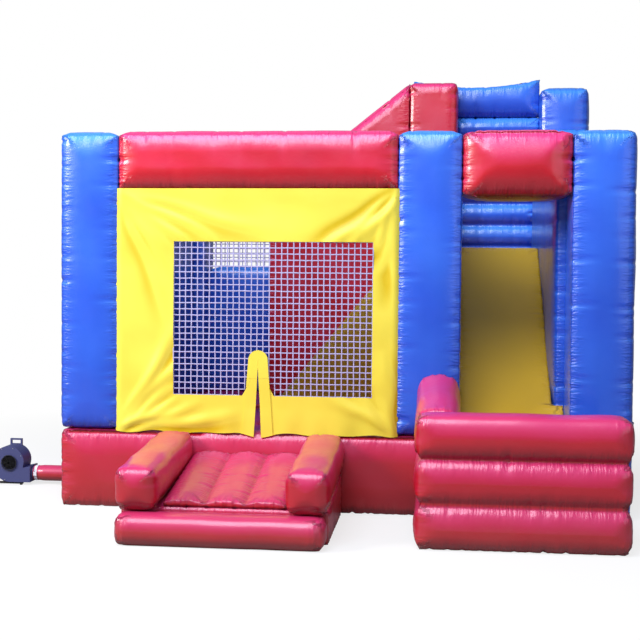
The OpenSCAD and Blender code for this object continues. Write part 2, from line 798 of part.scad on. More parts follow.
// D-shaped ring that hangs from the loop: a straight bar and half a circle of wire
ring_drop = 22;
module anchor_ring(i) {
    r = ring_r + ring_wire;
    color("Silver") at_spot(i) translate([ring_axis_out, 0, 0]) union() {
        translate([0, -r, 0]) rotate([-90, 0, 0]) cylinder(r = ring_wire, h = 2 * r, $fn = 48);
        for (side = [-1, 1]) {
            translate([0, side * r, -ring_drop]) cylinder(r = ring_wire, h = ring_drop, $fn = 48);
            translate([0, side * r, 0]) sphere(r = ring_wire, $fn = 48);
        }
        translate([0, 0, -ring_drop]) rotate([0, 90, 0]) rotate([0, 0, -90]) rotate_extrude(angle = 180, $fn = 96)
            translate([r, 0]) circle(ring_wire, $fn = 48);
    }
}
module anchor_ring_front_left() { anchor_ring(0); }
module anchor_ring_front_right() { anchor_ring(1); }
module anchor_ring_rear_left() { anchor_ring(2); }
module anchor_ring_rear_right() { anchor_ring(3); }
module anchor_ring_top_left() { anchor_ring(4); }

// ---- Deflation zip on the back of the base ----

tape_t = 3;
x_zip = (x_corner + x_mid) / 2;
slider_t = 8;

module zip_tape() {
    color("Black") translate([x_zip - zip_len / 2, y_b, zip_z - zip_w / 2]) cube([zip_len, tape_t, zip_w]);
}
slider_w = 18;
slider_start = 20;
slider_gap = 0.3;
pull_l = 40;
pull_w = 8;
pull_t = 3;
module zip_slider() {
    x_slider = x_zip - zip_len / 2 + slider_start;
    color("Silver") translate([x_slider, y_b + tape_t + slider_gap, zip_z]) union() {
        translate([0, 0, -slider_w / 2]) cube([slider_l, slider_t, slider_w]);
        translate([slider_l / 2 - pull_w / 2, eps, -pull_l]) cube([pull_w, pull_t, pull_l]);
    }
}
// Cloth cover that hangs from a hem above the zip and hides it
cover_end = 30;
cover_over = 40;
cover_hem = 4;
module zip_cover() {
    len = zip_len + 2 * cover_end;
    color(RED) translate([x_zip - len / 2, y_b + slider_gap, zip_z]) union() {
        translate([0, cover_off - cover_t, zip_w / 2 + cover_over - cover_h]) cube([len, cover_t, cover_h]);
        translate([0, 0, zip_w / 2 + cover_over - cover_hem]) cube([len, cover_off, cover_hem]);
    }
}

// ---- Inflation tube and blower ----

x_fan = x_l - fan_out;
y_fan = y_f + fan_back;
outlet_x = 190;
nozzle_l = 60;
x_tube = x_fan + outlet_x + 12;
neck_r_in = outlet_r + 0.5;
neck_r = neck_r_in + 3;
strap_t = 2;
strap_w = 25;

// Sleeve of cloth from the base to the blower, gathered where the strap holds it on the outlet
module inflation_tube() {
    len = x_l + puff - x_tube;
    neck = 50;
    color(RED) difference() {
        translate([x_tube, y_fan, outlet_z]) rotate([0, 90, 0]) rotate_extrude()
            polygon([[neck_r_in, 0], [neck_r, 0], [neck_r, neck], [tube_r, neck + 40], [tube_r, len], [neck_r_in, len]]);
        translate([-soft_gap, 0, 0]) base_form();
    }
}
module tube_strap() {
    buckle_off = 1;
    color("White") translate([x_tube + 12, y_fan, outlet_z]) rotate([0, 90, 0]) union() {
        rotate_extrude() translate([neck_r, 0]) square([strap_t, strap_w]);
        translate([-17, -neck_r - 8 - buckle_off, -2]) cube([34, 8, strap_w + 4]);
    }
}

// Spiral outline of the housing, grown by g, with the duct towards +X
module spiral_plan(g) {
    start = -20;
    low = spiral_r + spiral_grow * 270 / 360 + g;
    polygon(concat([for (a = [0 : 10 : 270]) let (r = spiral_r + spiral_grow * a / 360 + g) [r * cos(a), r * sin(a)]],
        [[outlet_x, -low], [outlet_x, outlet_z - fan_z + outlet_r + 8 + g], [spiral_r * cos(start) + g, spiral_r * sin(start) + g]]));
}
module housing_shell() {
    difference() {
        linear_extrude(fan_w / 2) spiral_plan(0);
        translate([0, 0, shell_t]) linear_extrude(fan_w / 2) spiral_plan(-shell_t);
    }
}
module at_fan() { translate([x_fan, y_fan, fan_z]) children(); }
// Front half: the intake side, with a rolled lip round the intake
// Collar round the intake, and how far the cuts of the housing run past its faces
collar_l = 12;
collar_t = 8;
over = 10;
motor_gap = 0.3;
module housing_front() {
    color("SlateBlue") at_fan() difference() {
        union() {
            translate([0, -fan_w / 2, 0]) rotate([90, 0, 0]) mirror([0, 0, 1]) housing_shell();
            translate([0, -fan_w / 2 - collar_l, 0]) rotate([-90, 0, 0])
                cylinder(r = intake_r + collar_t, h = collar_l + shell_t);
            outlet_half(-1);
        }
        translate([0, -fan_w / 2 - collar_l - eps, 0]) rotate([-90, 0, 0])
            cylinder(r = intake_r, h = collar_l + 2 * shell_t + eps);
        outlet_bore();
    }
}
module housing_rear() {
    color("SlateBlue") at_fan() difference() {
        union() {
            translate([0, fan_w / 2, 0]) rotate([90, 0, 0]) housing_shell();
            outlet_half(1);
            carry_handle();
        }
        translate([0, fan_w / 2 - over, 0]) rotate([-90, 0, 0]) cylinder(r = motor_r + motor_gap, h = 2 * over);
        outlet_bore();
    }
}
// Half of the end wall of the duct and of the round outlet
module outlet_half(side) {
    low = spiral_r + spiral_grow * 270 / 360;
    zc = outlet_z - fan_z;
    top = zc + outlet_r + collar_t;
    intersection() {
        union() {
            translate([outlet_x - shell_t, -fan_w / 2, -low]) cube([shell_t, fan_w, low + top]);
            translate([outlet_x - shell_t, 0, zc]) rotate([0, 90, 0]) cylinder(r = outlet_r, h = nozzle_l + shell_t);
        }
        translate([0, side < 0 ? -fan_w : 0, -2 * fan_z]) cube([2 * outlet_x, fan_w, 4 * fan_z]);
    }
}
module outlet_bore() {
    translate([outlet_x - 2 * over, 0, outlet_z - fan_z]) rotate([0, 90, 0])
        cylinder(r = outlet_r - shell_t, h = nozzle_l + 4 * over);
}
// Bail handle on the top of the rear half
bail_l = 110;
bail_d = 22;
bail_h = 60;
bail_bar = 14;
bail_in = 8;
module carry_handle() {
    top = spiral_r + spiral_grow / 4;
    translate([-bail_l / 2, fan_w / 2 - bail_in - bail_d, top - bail_h / 5]) difference() {
        cube([bail_l, bail_d, bail_h]);
        translate([bail_bar, -1, bail_bar]) cube([bail_l - 2 * bail_bar, bail_d + 2, bail_h - 2 * bail_bar]);
    }
}
module intake_grille() {
    wire = 3;
    hub_r = 14;
    color("DimGray") at_fan() translate([0, -fan_w / 2 - 12.3, 0]) rotate([90, 0, 0]) linear_extrude(wire) union() {
        ring(intake_r + 8, intake_r + 1);
        for (r = [hub_r : 4 * wire : intake_r - 6]) ring(r + wire / 2, r - wire / 2);
        for (a = [0 : 60 : 300]) rotate(a) translate([hub_r, -wire / 2]) square([intake_r - hub_r + 4, wire]);
    }
}
module ring(outer, inner) {
    difference() {
        circle(outer);
        circle(inner);
    }
}
// Fan wheel: back plate, hub, shaft, bowed blades and the front ring
wheel_gap = 12;
wheel_front_gap = 20;
blade_depth = 28;
plate_t = 3;
hub_r = 22;
hub_l = 34;
hub_back = 2;
shaft_l = motor_l * 0.6;
shaft_out = 20;
module fan_wheel() {
    plate_y = fan_w / 2 - shell_t - wheel_gap;
    blade_l = 2 * plate_y - wheel_front_gap;
    r_in = wheel_r - blade_depth;
    color("Silver") at_fan() translate([0, plate_y, 0]) rotate([90, 0, 0]) union() {
        cylinder(r = wheel_r, h = plate_t);
        translate([0, 0, -hub_back]) cylinder(r = hub_r, h = hub_l);
        for (i = [0 : blades - 1]) rotate(i * 360 / blades) translate([0, 0, plate_t - eps])
            linear_extrude(blade_l) blade(r_in);
        translate([0, 0, blade_l]) difference() {
            cylinder(r = wheel_r, h = plate_t);
            translate([0, 0, -eps]) cylinder(r = r_in, h = plate_t + 2 * eps);
        }
        translate([0, 0, -shaft_l]) cylinder(r = shaft_r, h = shaft_l + shaft_out);
    }
}
// One blade: a thin bow from the inner to the outer radius
module blade(r_in) {
    chord = wheel_r - 1 - r_in;
    r = chord * 0.75;
    intersection() {
        difference() {
            translate([r_in + chord / 2, -r * 0.75]) circle(r + 1, $fn = 60);
            translate([r_in + chord / 2, -r * 0.75]) circle(r - 1, $fn = 60);
        }
        translate([r_in + 0.5, -r]) square([chord, 2 * r]);
    }
}
fins_n = 6;
fin_t = 4;
fin_out = 5;
fin_start = 16;
flange_out = 14;
flange_t = 5;
bore_end = 12;
module fan_motor() {
    y0 = fan_w / 2 - shell_t;
    color("DimGray") at_fan() difference() {
        union() {
            translate([0, y0, 0]) rotate([-90, 0, 0]) cylinder(r = motor_r, h = motor_l);
            translate([0, fan_w / 2 + motor_gap, 0]) rotate([-90, 0, 0])
                cylinder(r = motor_r + flange_out, h = flange_t);
            for (i = [1 : fins_n]) translate([0, y0 + fin_start + i * motor_l / (1.5 * fins_n), 0])
                rotate([-90, 0, 0]) cylinder(r = motor_r + fin_out, h = fin_t);
        }
        translate([0, y0 - eps, 0]) rotate([-90, 0, 0])
            cylinder(r = shaft_r + shaft_fit, h = shaft_l + bore_end);
    }
}
// Two moulded runners with rubber feet under the housing
runner_x = -130;
runner_l = 250;
runner_w = 28;
runner_in = 10;
foot_r = 12;
foot_in = 18;
module fan_stand() {
    gap = fan_z - spiral_r - spiral_grow * 270 / 360;
    foot_h = gap * 0.4;
    y = fan_w / 2 - runner_in - runner_w / 2;
    color("DimGray") at_fan() for (side = [-1, 1]) {
        translate([runner_x, side * y - runner_w / 2, foot_h - fan_z]) cube([runner_l, runner_w, gap - foot_h]);
        for (x = [runner_x + foot_in, runner_x + runner_l - foot_in])
            translate([x, side * y, -fan_z]) cylinder(r = foot_r, h = foot_h + 1);
    }
}
// Box with the switch, and the gland for the supply cord
box_d = 34;
box_w = 90;
box_h = 80;
box_low = -30;
pivot_r = 2;
pivot_l = 36;
pivot_in = 3;
pivot_z = 16;
rocker_w = 30;
rocker_h = 20;
gland_r = 10;
x_box = -spiral_r - spiral_grow / 2;
x_pivot = x_box - box_d + pivot_in;
module control_box() {
    room = rocker_w + 1;
    color("DimGray") at_fan() union() {
        difference() {
            translate([x_box - box_d, -box_w / 2, box_low]) cube([box_d, box_w, box_h]);
            translate([x_box - box_d - 1, -room / 2, pivot_z - rocker_h / 2 - 2])
                cube([19, room, rocker_h + 4]);
            translate([x_pivot, -pivot_l / 2 - 2, pivot_z]) rotate([-90, 0, 0])
                cylinder(r = pivot_r + shaft_fit, h = pivot_l + 4);
        }
        translate([x_box - box_d / 2, 0, box_low - 14]) cylinder(r = gland_r, h = 16);
        translate([x_box - box_d / 2, 0, box_low - 26]) cylinder(r = 0.7 * gland_r, h = 14);
    }
}
module rocker_switch() {
    color("Red") at_fan() translate([x_pivot, 0, pivot_z]) union() {
        translate([0, rocker_w / 2, 0]) rotate([90, 0, 0]) linear_extrude(rocker_w)
            polygon([[8, -4], [8, 4], [-4, rocker_h / 2], [-6, 0], [-7.5, -rocker_h / 2]]);
        translate([0, -pivot_l / 2, 0]) rotate([-90, 0, 0]) cylinder(r = pivot_r, h = pivot_l);
    }
}
screw_r = 5;
screw_h = 3;
screw_in = 12;
module housing_screws() {
    color("Silver") at_fan() for (a = [30 : 45 : 255]) {
        r = spiral_r + spiral_grow * a / 360 - screw_in;
        translate([r * cos(a), -fan_w / 2 - screw_h - soft_gap, r * sin(a)]) rotate([-90, 0, 0])
            cylinder(r = screw_r, h = screw_h);
    }
}

bounce_base();
slide_base();
column_front_left();
column_front_middle();
column_front_right();
column_rear_left();
column_rear_middle();
column_rear_right();
beam_front();
beam_slide();
beam_left();
beam_rear();
left_wall();
rear_wall();
divider_wall();
right_wall();
guard_wall();
guard_block();
tower_back_wall();
tower_back_beam();
platform();
climb_side_wall();
climb_ramp();
climb_steps();
climb_handles();
slide_chute();
landing_pad();
exit_front_wall();
exit_left_wall();
ramp_pad();
ramp_lip();
ramp_channels();
ramp_bolster_left();
ramp_bolster_right();
front_panel();
front_net();
slit_trim();
rear_net();
entrance_flap_left();
entrance_flap_right();
anchor_tabs();
anchor_ring_front_left();
anchor_ring_front_right();
anchor_ring_rear_left();
anchor_ring_rear_right();
anchor_ring_top_left();
zip_tape();
zip_slider();
zip_cover();
inflation_tube();
tube_strap();
housing_front();
housing_rear();
intake_grille();
fan_wheel();
fan_motor();
fan_stand();
control_box();
rocker_switch();
housing_screws();
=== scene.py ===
# %% [markdown]
# # An inflatable bounce house
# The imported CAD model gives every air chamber, sheet, net and blower part its place. This lesson turns the
# plain solids into sewn, air-filled vinyl. It starts by loading the frame, whose boxes give all the sizes.

import json
from math import ceil, cos, pi, radians, sin, sqrt

import bmesh
import bpy
import numpy as np
from mathutils import Matrix, Vector
from mathutils.bvhtree import BVHTree
from mathutils.kdtree import KDTree


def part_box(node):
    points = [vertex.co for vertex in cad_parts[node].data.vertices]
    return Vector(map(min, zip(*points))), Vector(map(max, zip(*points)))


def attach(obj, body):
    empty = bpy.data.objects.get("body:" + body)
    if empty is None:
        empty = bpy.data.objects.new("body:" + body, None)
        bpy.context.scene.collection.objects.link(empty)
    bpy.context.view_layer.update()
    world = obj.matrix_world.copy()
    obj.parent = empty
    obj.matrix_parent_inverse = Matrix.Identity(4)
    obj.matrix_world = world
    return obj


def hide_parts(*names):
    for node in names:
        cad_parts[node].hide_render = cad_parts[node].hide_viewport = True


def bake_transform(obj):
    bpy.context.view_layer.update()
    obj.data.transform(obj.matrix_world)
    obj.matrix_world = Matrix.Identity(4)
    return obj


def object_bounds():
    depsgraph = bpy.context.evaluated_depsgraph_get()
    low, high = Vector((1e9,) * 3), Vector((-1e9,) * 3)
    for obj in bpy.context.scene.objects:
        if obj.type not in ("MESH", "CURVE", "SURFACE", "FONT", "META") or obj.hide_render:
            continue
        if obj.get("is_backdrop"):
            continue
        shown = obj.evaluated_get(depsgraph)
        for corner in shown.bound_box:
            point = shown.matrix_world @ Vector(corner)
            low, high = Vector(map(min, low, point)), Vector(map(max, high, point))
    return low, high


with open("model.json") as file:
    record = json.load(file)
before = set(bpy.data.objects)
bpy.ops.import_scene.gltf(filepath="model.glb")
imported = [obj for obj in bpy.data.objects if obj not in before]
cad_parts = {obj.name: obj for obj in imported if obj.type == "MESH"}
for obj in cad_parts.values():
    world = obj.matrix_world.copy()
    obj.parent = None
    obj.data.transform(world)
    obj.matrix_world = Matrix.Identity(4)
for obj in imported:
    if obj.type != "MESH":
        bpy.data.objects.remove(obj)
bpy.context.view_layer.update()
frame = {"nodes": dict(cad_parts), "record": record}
record = frame["record"]

# %% [markdown]
# The sewn sheets follow a few lines of the house: the bay of the bounce room between two columns, the window
# in its front panel, and the entrance slit. Each comes from the box of the CAD node that has it.

# %% Lines of the house
panel_low, panel_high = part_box("front_panel")
window_low, window_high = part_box("front_net")
flap_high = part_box("entrance_flap_right")[1]
trim_low, trim_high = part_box("slit_trim")
x_slit = (trim_low.x + trim_high.x) / 2
trim_half = trim_high.x - x_slit
slit_top = trim_high.z - trim_half
slit_half_low = 0.03
flap_width = flap_high.x - x_slit
flap_top = flap_high.z
hem_z = panel_low.z
house_body = "house"
print("The window is", round(window_high.x - window_low.x, 2), "by", round(window_high.z - window_low.z, 2))

# %% [markdown]
# A bounce house is sewn from a few coated cloths in strong plain colours. The palette is written once, as
# the colours that the eye sees, and each is turned into the linear values that the shader works with.

# %% Palette
def linear(*seen):
    """A colour as seen on a screen, 0 to 255, in the shader's linear values."""
    parts = [value / 255 for value in seen]
    return tuple(p / 12.92 if p < 0.04045 else ((p + 0.055) / 1.055) ** 2.4 for p in parts) + (1.0,)


# Vinyl tones: the deep tones are the cloth's random darker tone and also its painted shade; the sky tones are
# painted sky light on faces turned up.
BLUE = linear(42, 96, 220)
BLUE_DEEP = linear(18, 44, 158)
BLUE_PAINTED_SKYLIGHT = linear(64, 142, 244)
RED = linear(206, 24, 42)
RED_DEEP = linear(140, 6, 20)
RED_PAINTED_SKYLIGHT = linear(228, 56, 124)
YELLOW = linear(222, 178, 38)
YELLOW_DEEP = linear(168, 122, 16)
SHEET_YELLOW = linear(232, 218, 74)
# painted shade in the hollows of the sheet's folds
SHEET_SHADE = linear(206, 176, 4)
NET_WHITE = linear(170, 166, 204)
WEBBING_NAVY = linear(22, 34, 84)
HOUSING = linear(64, 68, 112)
DARK_GREY = linear(44, 46, 54)
BLACK = linear(16, 16, 18)
STRAP_WHITE = linear(226, 226, 230)
SWITCH_RED = linear(190, 24, 26)
STEEL = linear(172, 174, 178)
DUST = linear(176, 160, 136)
print("The palette has 19 colours")

# %% [markdown]
# Every finish here shares three effects, so each is a node group that puts out values and no shader:
# coated cloth has slow changes of tone and a fine grain, sewn edges gather the cloth into small puckers, and
# the lowest part of the house collects dust. Groups let one good recipe serve every colour.

# %% Node helpers
def new_group(name, inputs, outputs):
    """A shader node group with named sockets: inputs are (name, type, value), outputs are (name, type)."""
    group = bpy.data.node_groups.new(name, "ShaderNodeTree")
    for label, kind, value in inputs:
        socket = group.interface.new_socket(label, in_out="INPUT", socket_type=kind)
        socket.default_value = value
    for label, kind in outputs:
        group.interface.new_socket(label, in_out="OUTPUT", socket_type=kind)
    return group, group.nodes.new("NodeGroupInput"), group.nodes.new("NodeGroupOutput")


def add(tree, kind, settings=(), **inputs):
    """Adds one node, sets its settings, and links or sets the inputs that are named."""
    node = tree.nodes.new(kind)
    for key, value in dict(settings).items():
        setattr(node, key, value)
    for key, value in inputs.items():
        socket = node.inputs[int(key[1:]) if key[0] == "i" and key[1:].isdigit() else key.replace("_", " ")]
        if isinstance(value, bpy.types.NodeSocket):
            tree.links.new(value, socket)
        else:
            socket.default_value = value
    return node


def math(tree, operation, a, b=0.0, c=0.0):
    """One Math node, and its output."""
    return add(tree, "ShaderNodeMath", {"operation": operation}, i0=a, i1=b, i2=c).outputs[0]


def clamped(tree, value, slope, start):
    """The value times a slope plus a start, held between 0 and 1."""
    line = math(tree, "MULTIPLY_ADD", value, slope, start)
    return math(tree, "MINIMUM", math(tree, "MAXIMUM", line, 0.0), 1.0)


def mixed(tree, share, a, b):
    """Mixes two colours, and gives the result."""
    node = add(tree, "ShaderNodeMix", {"data_type": "RGBA"}, i0=share, i6=a, i7=b)
    return node.outputs[2]


def noise(tree, place, scale, detail=2.0, roughness=0.5):
    """A noise texture's value at a place."""
    node = add(tree, "ShaderNodeTexNoise", {}, Vector=place, Scale=scale, Detail=detail, Roughness=roughness)
    return node.outputs[0]


# %% Node group: tone and grain of coated cloth
group, source, result = new_group(
    "coated_cloth",
    [("Color", "NodeSocketColor", (1, 1, 1, 1)), ("Deep Color", "NodeSocketColor", (0.5, 0.5, 0.5, 1)),
     ("Gloss", "NodeSocketFloat", 0.3), ("Grain Scale", "NodeSocketFloat", 240.0)],
    [("Color", "NodeSocketColor"), ("Roughness", "NodeSocketFloat"), ("Height", "NodeSocketFloat")])
place = add(group, "ShaderNodeTexCoord").outputs["Object"]
slow = noise(group, place, 1.4, 3.0)
dents = noise(group, place, 9.0, 3.0, 0.55)
grain = noise(group, place, source.outputs["Grain Scale"], 1.0)
tone = math(group, "MULTIPLY_ADD", slow, 0.9, -0.22)
tone = math(group, "MAXIMUM", math(group, "MINIMUM", tone, 0.6), 0.0)
toned = mixed(group, tone, source.outputs["Color"], source.outputs["Deep Color"])
group.links.new(toned, result.inputs["Color"])
group.links.new(math(group, "MULTIPLY_ADD", dents, 0.16, math(group, "ADD", source.outputs["Gloss"], -0.08)),
                result.inputs["Roughness"])
group.links.new(math(group, "MULTIPLY_ADD", grain, 0.02, math(group, "MULTIPLY", dents, 0.35)),
                result.inputs["Height"])
coated_cloth = group

# %% Node group: puckers beside a sewn seam
group, source, result = new_group(
    "seam_puckers",
    [("Gap", "NodeSocketFloat", 1.0), ("Run", "NodeSocketFloat", 0.0), ("Reach", "NodeSocketFloat", 0.13),
     ("Pitch", "NodeSocketFloat", 0.045)],
    [("Height", "NodeSocketFloat"), ("Seam", "NodeSocketFloat")])
gap, run = source.outputs["Gap"], source.outputs["Run"]
across = math(group, "DIVIDE", run, source.outputs["Pitch"])
outward = math(group, "DIVIDE", gap, math(group, "MULTIPLY", source.outputs["Reach"], 1.4))
place = add(group, "ShaderNodeCombineXYZ", {}, X=across, Y=outward).outputs[0]
folds = noise(group, place, 1.0, 2.0, 0.55)
ridge = math(group, "ABSOLUTE", math(group, "MULTIPLY_ADD", folds, 2.0, -1.0))
reached = math(group, "SUBTRACT", 1.0, math(group, "DIVIDE", gap, source.outputs["Reach"]))
reached = math(group, "POWER", math(group, "MAXIMUM", reached, 0.0), 1.3)
group.links.new(math(group, "MULTIPLY", ridge, reached), result.inputs["Height"])
# Seam: a mask on the seam line itself, used for painted shade in the seam groove
seam = math(group, "SUBTRACT", 1.0, math(group, "DIVIDE", gap, 0.022))
group.links.new(math(group, "MAXIMUM", seam, 0.0), result.inputs["Seam"])
seam_puckers = group

# %% Node group: dust near the ground
group, source, result = new_group(
    "ground_dust",
    [("Color", "NodeSocketColor", (1, 1, 1, 1)), ("Dust", "NodeSocketColor", DUST),
     ("Height", "NodeSocketFloat", 0.3), ("Amount", "NodeSocketFloat", 0.1)],
    [("Color", "NodeSocketColor"), ("Mask", "NodeSocketFloat")])
place = add(group, "ShaderNodeTexCoord").outputs["Object"]
height = add(group, "ShaderNodeSeparateXYZ", {}, Vector=place).outputs[2]
near = math(group, "SUBTRACT", 1.0, math(group, "DIVIDE", height, source.outputs["Height"]))
near = math(group, "MAXIMUM", near, 0.0)
cloud = noise(group, place, 6.0, 4.0, 0.6)
mask = math(group, "MULTIPLY", math(group, "MULTIPLY", near, cloud), source.outputs["Amount"])
group.links.new(mixed(group, mask, source.outputs["Color"], source.outputs["Dust"]), result.inputs["Color"])
group.links.new(mask, result.inputs["Mask"])
ground_dust = group
print("Node groups:", [g.name for g in bpy.data.node_groups])

# %% [markdown]
# The vinyl itself is glossy: a broad highlight from the coated cloth and a thin clear coat over it. The
# puckers follow two values that each mesh carries on its points: how near the closest seam is, and the run
# along it. So the same material fits a column, a beam or a pad.

# %% Vinyl of the air chambers
GRAIN_DEPTH = 0.006
PUCKER_SHARE = 2.2
SEAM_FIELD = 0.3
# Painted light on the vinyl: painted shade low down and along the seams, painted sky light on faces turned
# up, painted shade on faces turned down.
LOW_PAINTED_SHADE = 0.9
LOW_START = 0.55
LOW_FADE = 0.2
TILT_PAINTED_LIGHT_AND_SHADE = 2.2
UPRIGHT_PAINTED_SKYLIGHT = 0.1
SEAM_PAINTED_SHADE = 0.5
COAT_ROUGHNESS = 0.16


def new_material(name):
    """A material with an empty tree, its Principled shader and its output."""
    material = bpy.data.materials.new(name)
    material.use_nodes = True
    tree = material.node_tree
    tree.nodes.clear()
    shader = tree.nodes.new("ShaderNodeBsdfPrincipled")
    output = tree.nodes.new("ShaderNodeOutputMaterial")
    tree.links.new(shader.outputs[0], output.inputs[0])
    return material, tree, shader


def use_group(tree, group, **inputs):
    """Places a node group in a material."""
    return add(tree, "ShaderNodeGroup", {"node_tree": group}, **inputs)


def vinyl(name, color, deep, sky, gloss=0.34, coat=0.45):
    """Coated cloth of a chamber: painted sky light facing up, painted shade facing down, low down and at
    seams.
    """
    material, tree, shader = new_material(name)
    near = add(tree, "ShaderNodeAttribute", {"attribute_name": "seam_near"}).outputs["Fac"]
    gap = math(tree, "MULTIPLY", math(tree, "SUBTRACT", 1.0, near), SEAM_FIELD)
    run = add(tree, "ShaderNodeAttribute", {"attribute_name": "seam_run"}).outputs["Fac"]
    cloth = use_group(tree, coated_cloth, Color=color, Deep_Color=deep, Gloss=gloss)
    puckers = use_group(tree, seam_puckers, Gap=gap, Run=run)
    facing = add(tree, "ShaderNodeNewGeometry").outputs["Normal"]
    upward = add(tree, "ShaderNodeSeparateXYZ", {}, Vector=facing).outputs[2]
    # painted sky light: faces turned up are mixed towards a paler colour, like a reflection of the sky
    painted_skylight_share = clamped(tree, upward, TILT_PAINTED_LIGHT_AND_SHADE, UPRIGHT_PAINTED_SKYLIGHT)
    # painted shade: faces turned down are mixed towards the deep colour
    shade = clamped(tree, upward, -TILT_PAINTED_LIGHT_AND_SHADE, 0.0)
    painted_light_and_shade = mixed(tree, painted_skylight_share, cloth.outputs["Color"], sky)
    place = add(tree, "ShaderNodeTexCoord").outputs["Object"]
    height = add(tree, "ShaderNodeSeparateXYZ", {}, Vector=place).outputs[2]
    # painted shade: the lower the vinyl stands, the more it is mixed towards the deep colour
    low = math(tree, "MAXIMUM", math(tree, "MULTIPLY_ADD", height, -LOW_FADE, LOW_START), 0.0)
    painted_light_and_shade = mixed(tree, math(tree, "MAXIMUM", shade, math(tree, "MULTIPLY", low, LOW_PAINTED_SHADE)), painted_light_and_shade, deep)
    # painted shade in the seam grooves: a thin band along each seam is mixed towards the deep colour
    sewn = mixed(tree, math(tree, "MULTIPLY", puckers.outputs["Seam"], SEAM_PAINTED_SHADE), painted_light_and_shade, deep)
    dusty = use_group(tree, ground_dust, Color=sewn)
    tree.links.new(dusty.outputs["Color"], shader.inputs["Base Color"])
    rough = math(tree, "MULTIPLY_ADD", dusty.outputs["Mask"], 0.5, cloth.outputs["Roughness"])
    tree.links.new(rough, shader.inputs["Roughness"])
    height = math(tree, "MULTIPLY_ADD", puckers.outputs["Height"], PUCKER_SHARE, cloth.outputs["Height"])
    bump = add(tree, "ShaderNodeBump", {}, Distance=GRAIN_DEPTH, Height=height)
    tree.links.new(bump.outputs[0], shader.inputs["Normal"])
    shader.inputs["Coat Weight"].default_value = coat
    shader.inputs["Coat Roughness"].default_value = COAT_ROUGHNESS
    return material


vinyl_blue = vinyl("vinyl_blue", BLUE, BLUE_DEEP, BLUE_PAINTED_SKYLIGHT)
vinyl_red = vinyl("vinyl_red", RED, RED_DEEP, RED_PAINTED_SKYLIGHT)
vinyl_yellow = vinyl("vinyl_yellow", YELLOW, YELLOW_DEEP, YELLOW)
print("Vinyl in", len([m for m in bpy.data.materials if m.name.startswith("vinyl")]), "colours")

# %% [markdown]
# The smaller finishes are cloth, net, moulded plastic and metal. They share one recipe with other numbers:
# a colour that changes a little, a roughness and a fine bump.

# %% Plain finishes
def plain(name, color, deep, roughness, metal=0.0, grain=300.0, depth=0.0006):
    """A finish with a slow change of tone and a fine grain."""
    material, tree, shader = new_material(name)
    cloth = use_group(tree, coated_cloth, Color=color, Deep_Color=deep, Gloss=roughness, Grain_Scale=grain)
    tree.links.new(cloth.outputs["Color"], shader.inputs["Base Color"])
    tree.links.new(cloth.outputs["Roughness"], shader.inputs["Roughness"])
    bump = add(tree, "ShaderNodeBump", {}, Distance=depth, Height=cloth.outputs["Height"])
    tree.links.new(bump.outputs[0], shader.inputs["Normal"])
    shader.inputs["Metallic"].default_value = metal
    return material


def deeper(color, share=0.7):
    """A darker tone of a colour."""
    return tuple(part * share for part in color[:3]) + (1.0,)


def sheet_with_painted_fold_shade(name, color, deep, roughness):
    """Coated sheet with painted shade in the hollows of its folds."""
    material, tree, shader = new_material(name)
    fold = add(tree, "ShaderNodeAttribute", {"attribute_name": "fold"}).outputs["Fac"]
    cloth = use_group(tree, coated_cloth, Color=color, Deep_Color=deep, Gloss=roughness)
    # painted shade: the hollows of the folds are mixed towards the deep colour
    crease = math(tree, "MINIMUM", math(tree, "MAXIMUM", fold, 0.0), 1.0)
    toned = mixed(tree, crease, cloth.outputs["Color"], deep)
    tree.links.new(toned, shader.inputs["Base Color"])
    tree.links.new(cloth.outputs["Roughness"], shader.inputs["Roughness"])
    bump = add(tree, "ShaderNodeBump", {}, Distance=0.002, Height=cloth.outputs["Height"])
    tree.links.new(bump.outputs[0], shader.inputs["Normal"])
    return material


sheet_yellow = sheet_with_painted_fold_shade("sheet_yellow", SHEET_YELLOW, SHEET_SHADE, 0.46)
net_white = plain("net_white", NET_WHITE, deeper(NET_WHITE), 0.75, grain=900.0)
finishes = {
    "vinyl_blue": vinyl_blue, "vinyl_red": vinyl_red, "vinyl_yellow": vinyl_yellow,
    "sheet_yellow": sheet_yellow, "net_white": net_white,
    "webbing": plain("webbing", WEBBING_NAVY, deeper(WEBBING_NAVY), 0.8, grain=700.0),
    "ring_steel": plain("ring_steel", STEEL, deeper(STEEL), 0.35, metal=1.0),
    "zip_tape": plain("zip_tape", BLACK, deeper(BLACK), 0.8, grain=900.0),
    "zip_metal": plain("zip_metal", DARK_GREY, deeper(DARK_GREY), 0.4),
    "strap_white": plain("strap_white", STRAP_WHITE, deeper(STRAP_WHITE), 0.7, grain=800.0),
    "fan_housing": plain("fan_housing", HOUSING, deeper(HOUSING), 0.42),
    "grille": plain("grille", BLACK, deeper(BLACK), 0.45),
    "fan_wheel": plain("fan_wheel", DARK_GREY, deeper(DARK_GREY), 0.5),
    "motor": plain("motor", DARK_GREY, deeper(DARK_GREY), 0.5),
    "rubber_feet": plain("rubber_feet", BLACK, deeper(BLACK), 0.8),
    "control_box": plain("control_box", BLACK, deeper(BLACK), 0.55),
    "switch": plain("switch", SWITCH_RED, deeper(SWITCH_RED), 0.35),
    "screws": plain("screws", STEEL, deeper(STEEL), 0.35, metal=1.0),
}
slot_of = {part["node"]: part["material_slot"] for part in record["subparts"]}
for node, obj in frame["nodes"].items():
    obj.data.materials.clear()
    obj.data.materials.append(finishes[slot_of[node]])
print(len(finishes), "finishes on", len(frame["nodes"]), "nodes")

# %% [markdown]
# An air chamber is cut from flat cloth, so its seams pull in and the cloth between them swells. The CAD
# solid has that outline already. A voxel remesh turns it into an even mesh of small squares, because only an
# even mesh can carry wrinkles. The seams are the solid's sharp edges, and every point learns how far it is
# from the nearest one and how far along it it lies.

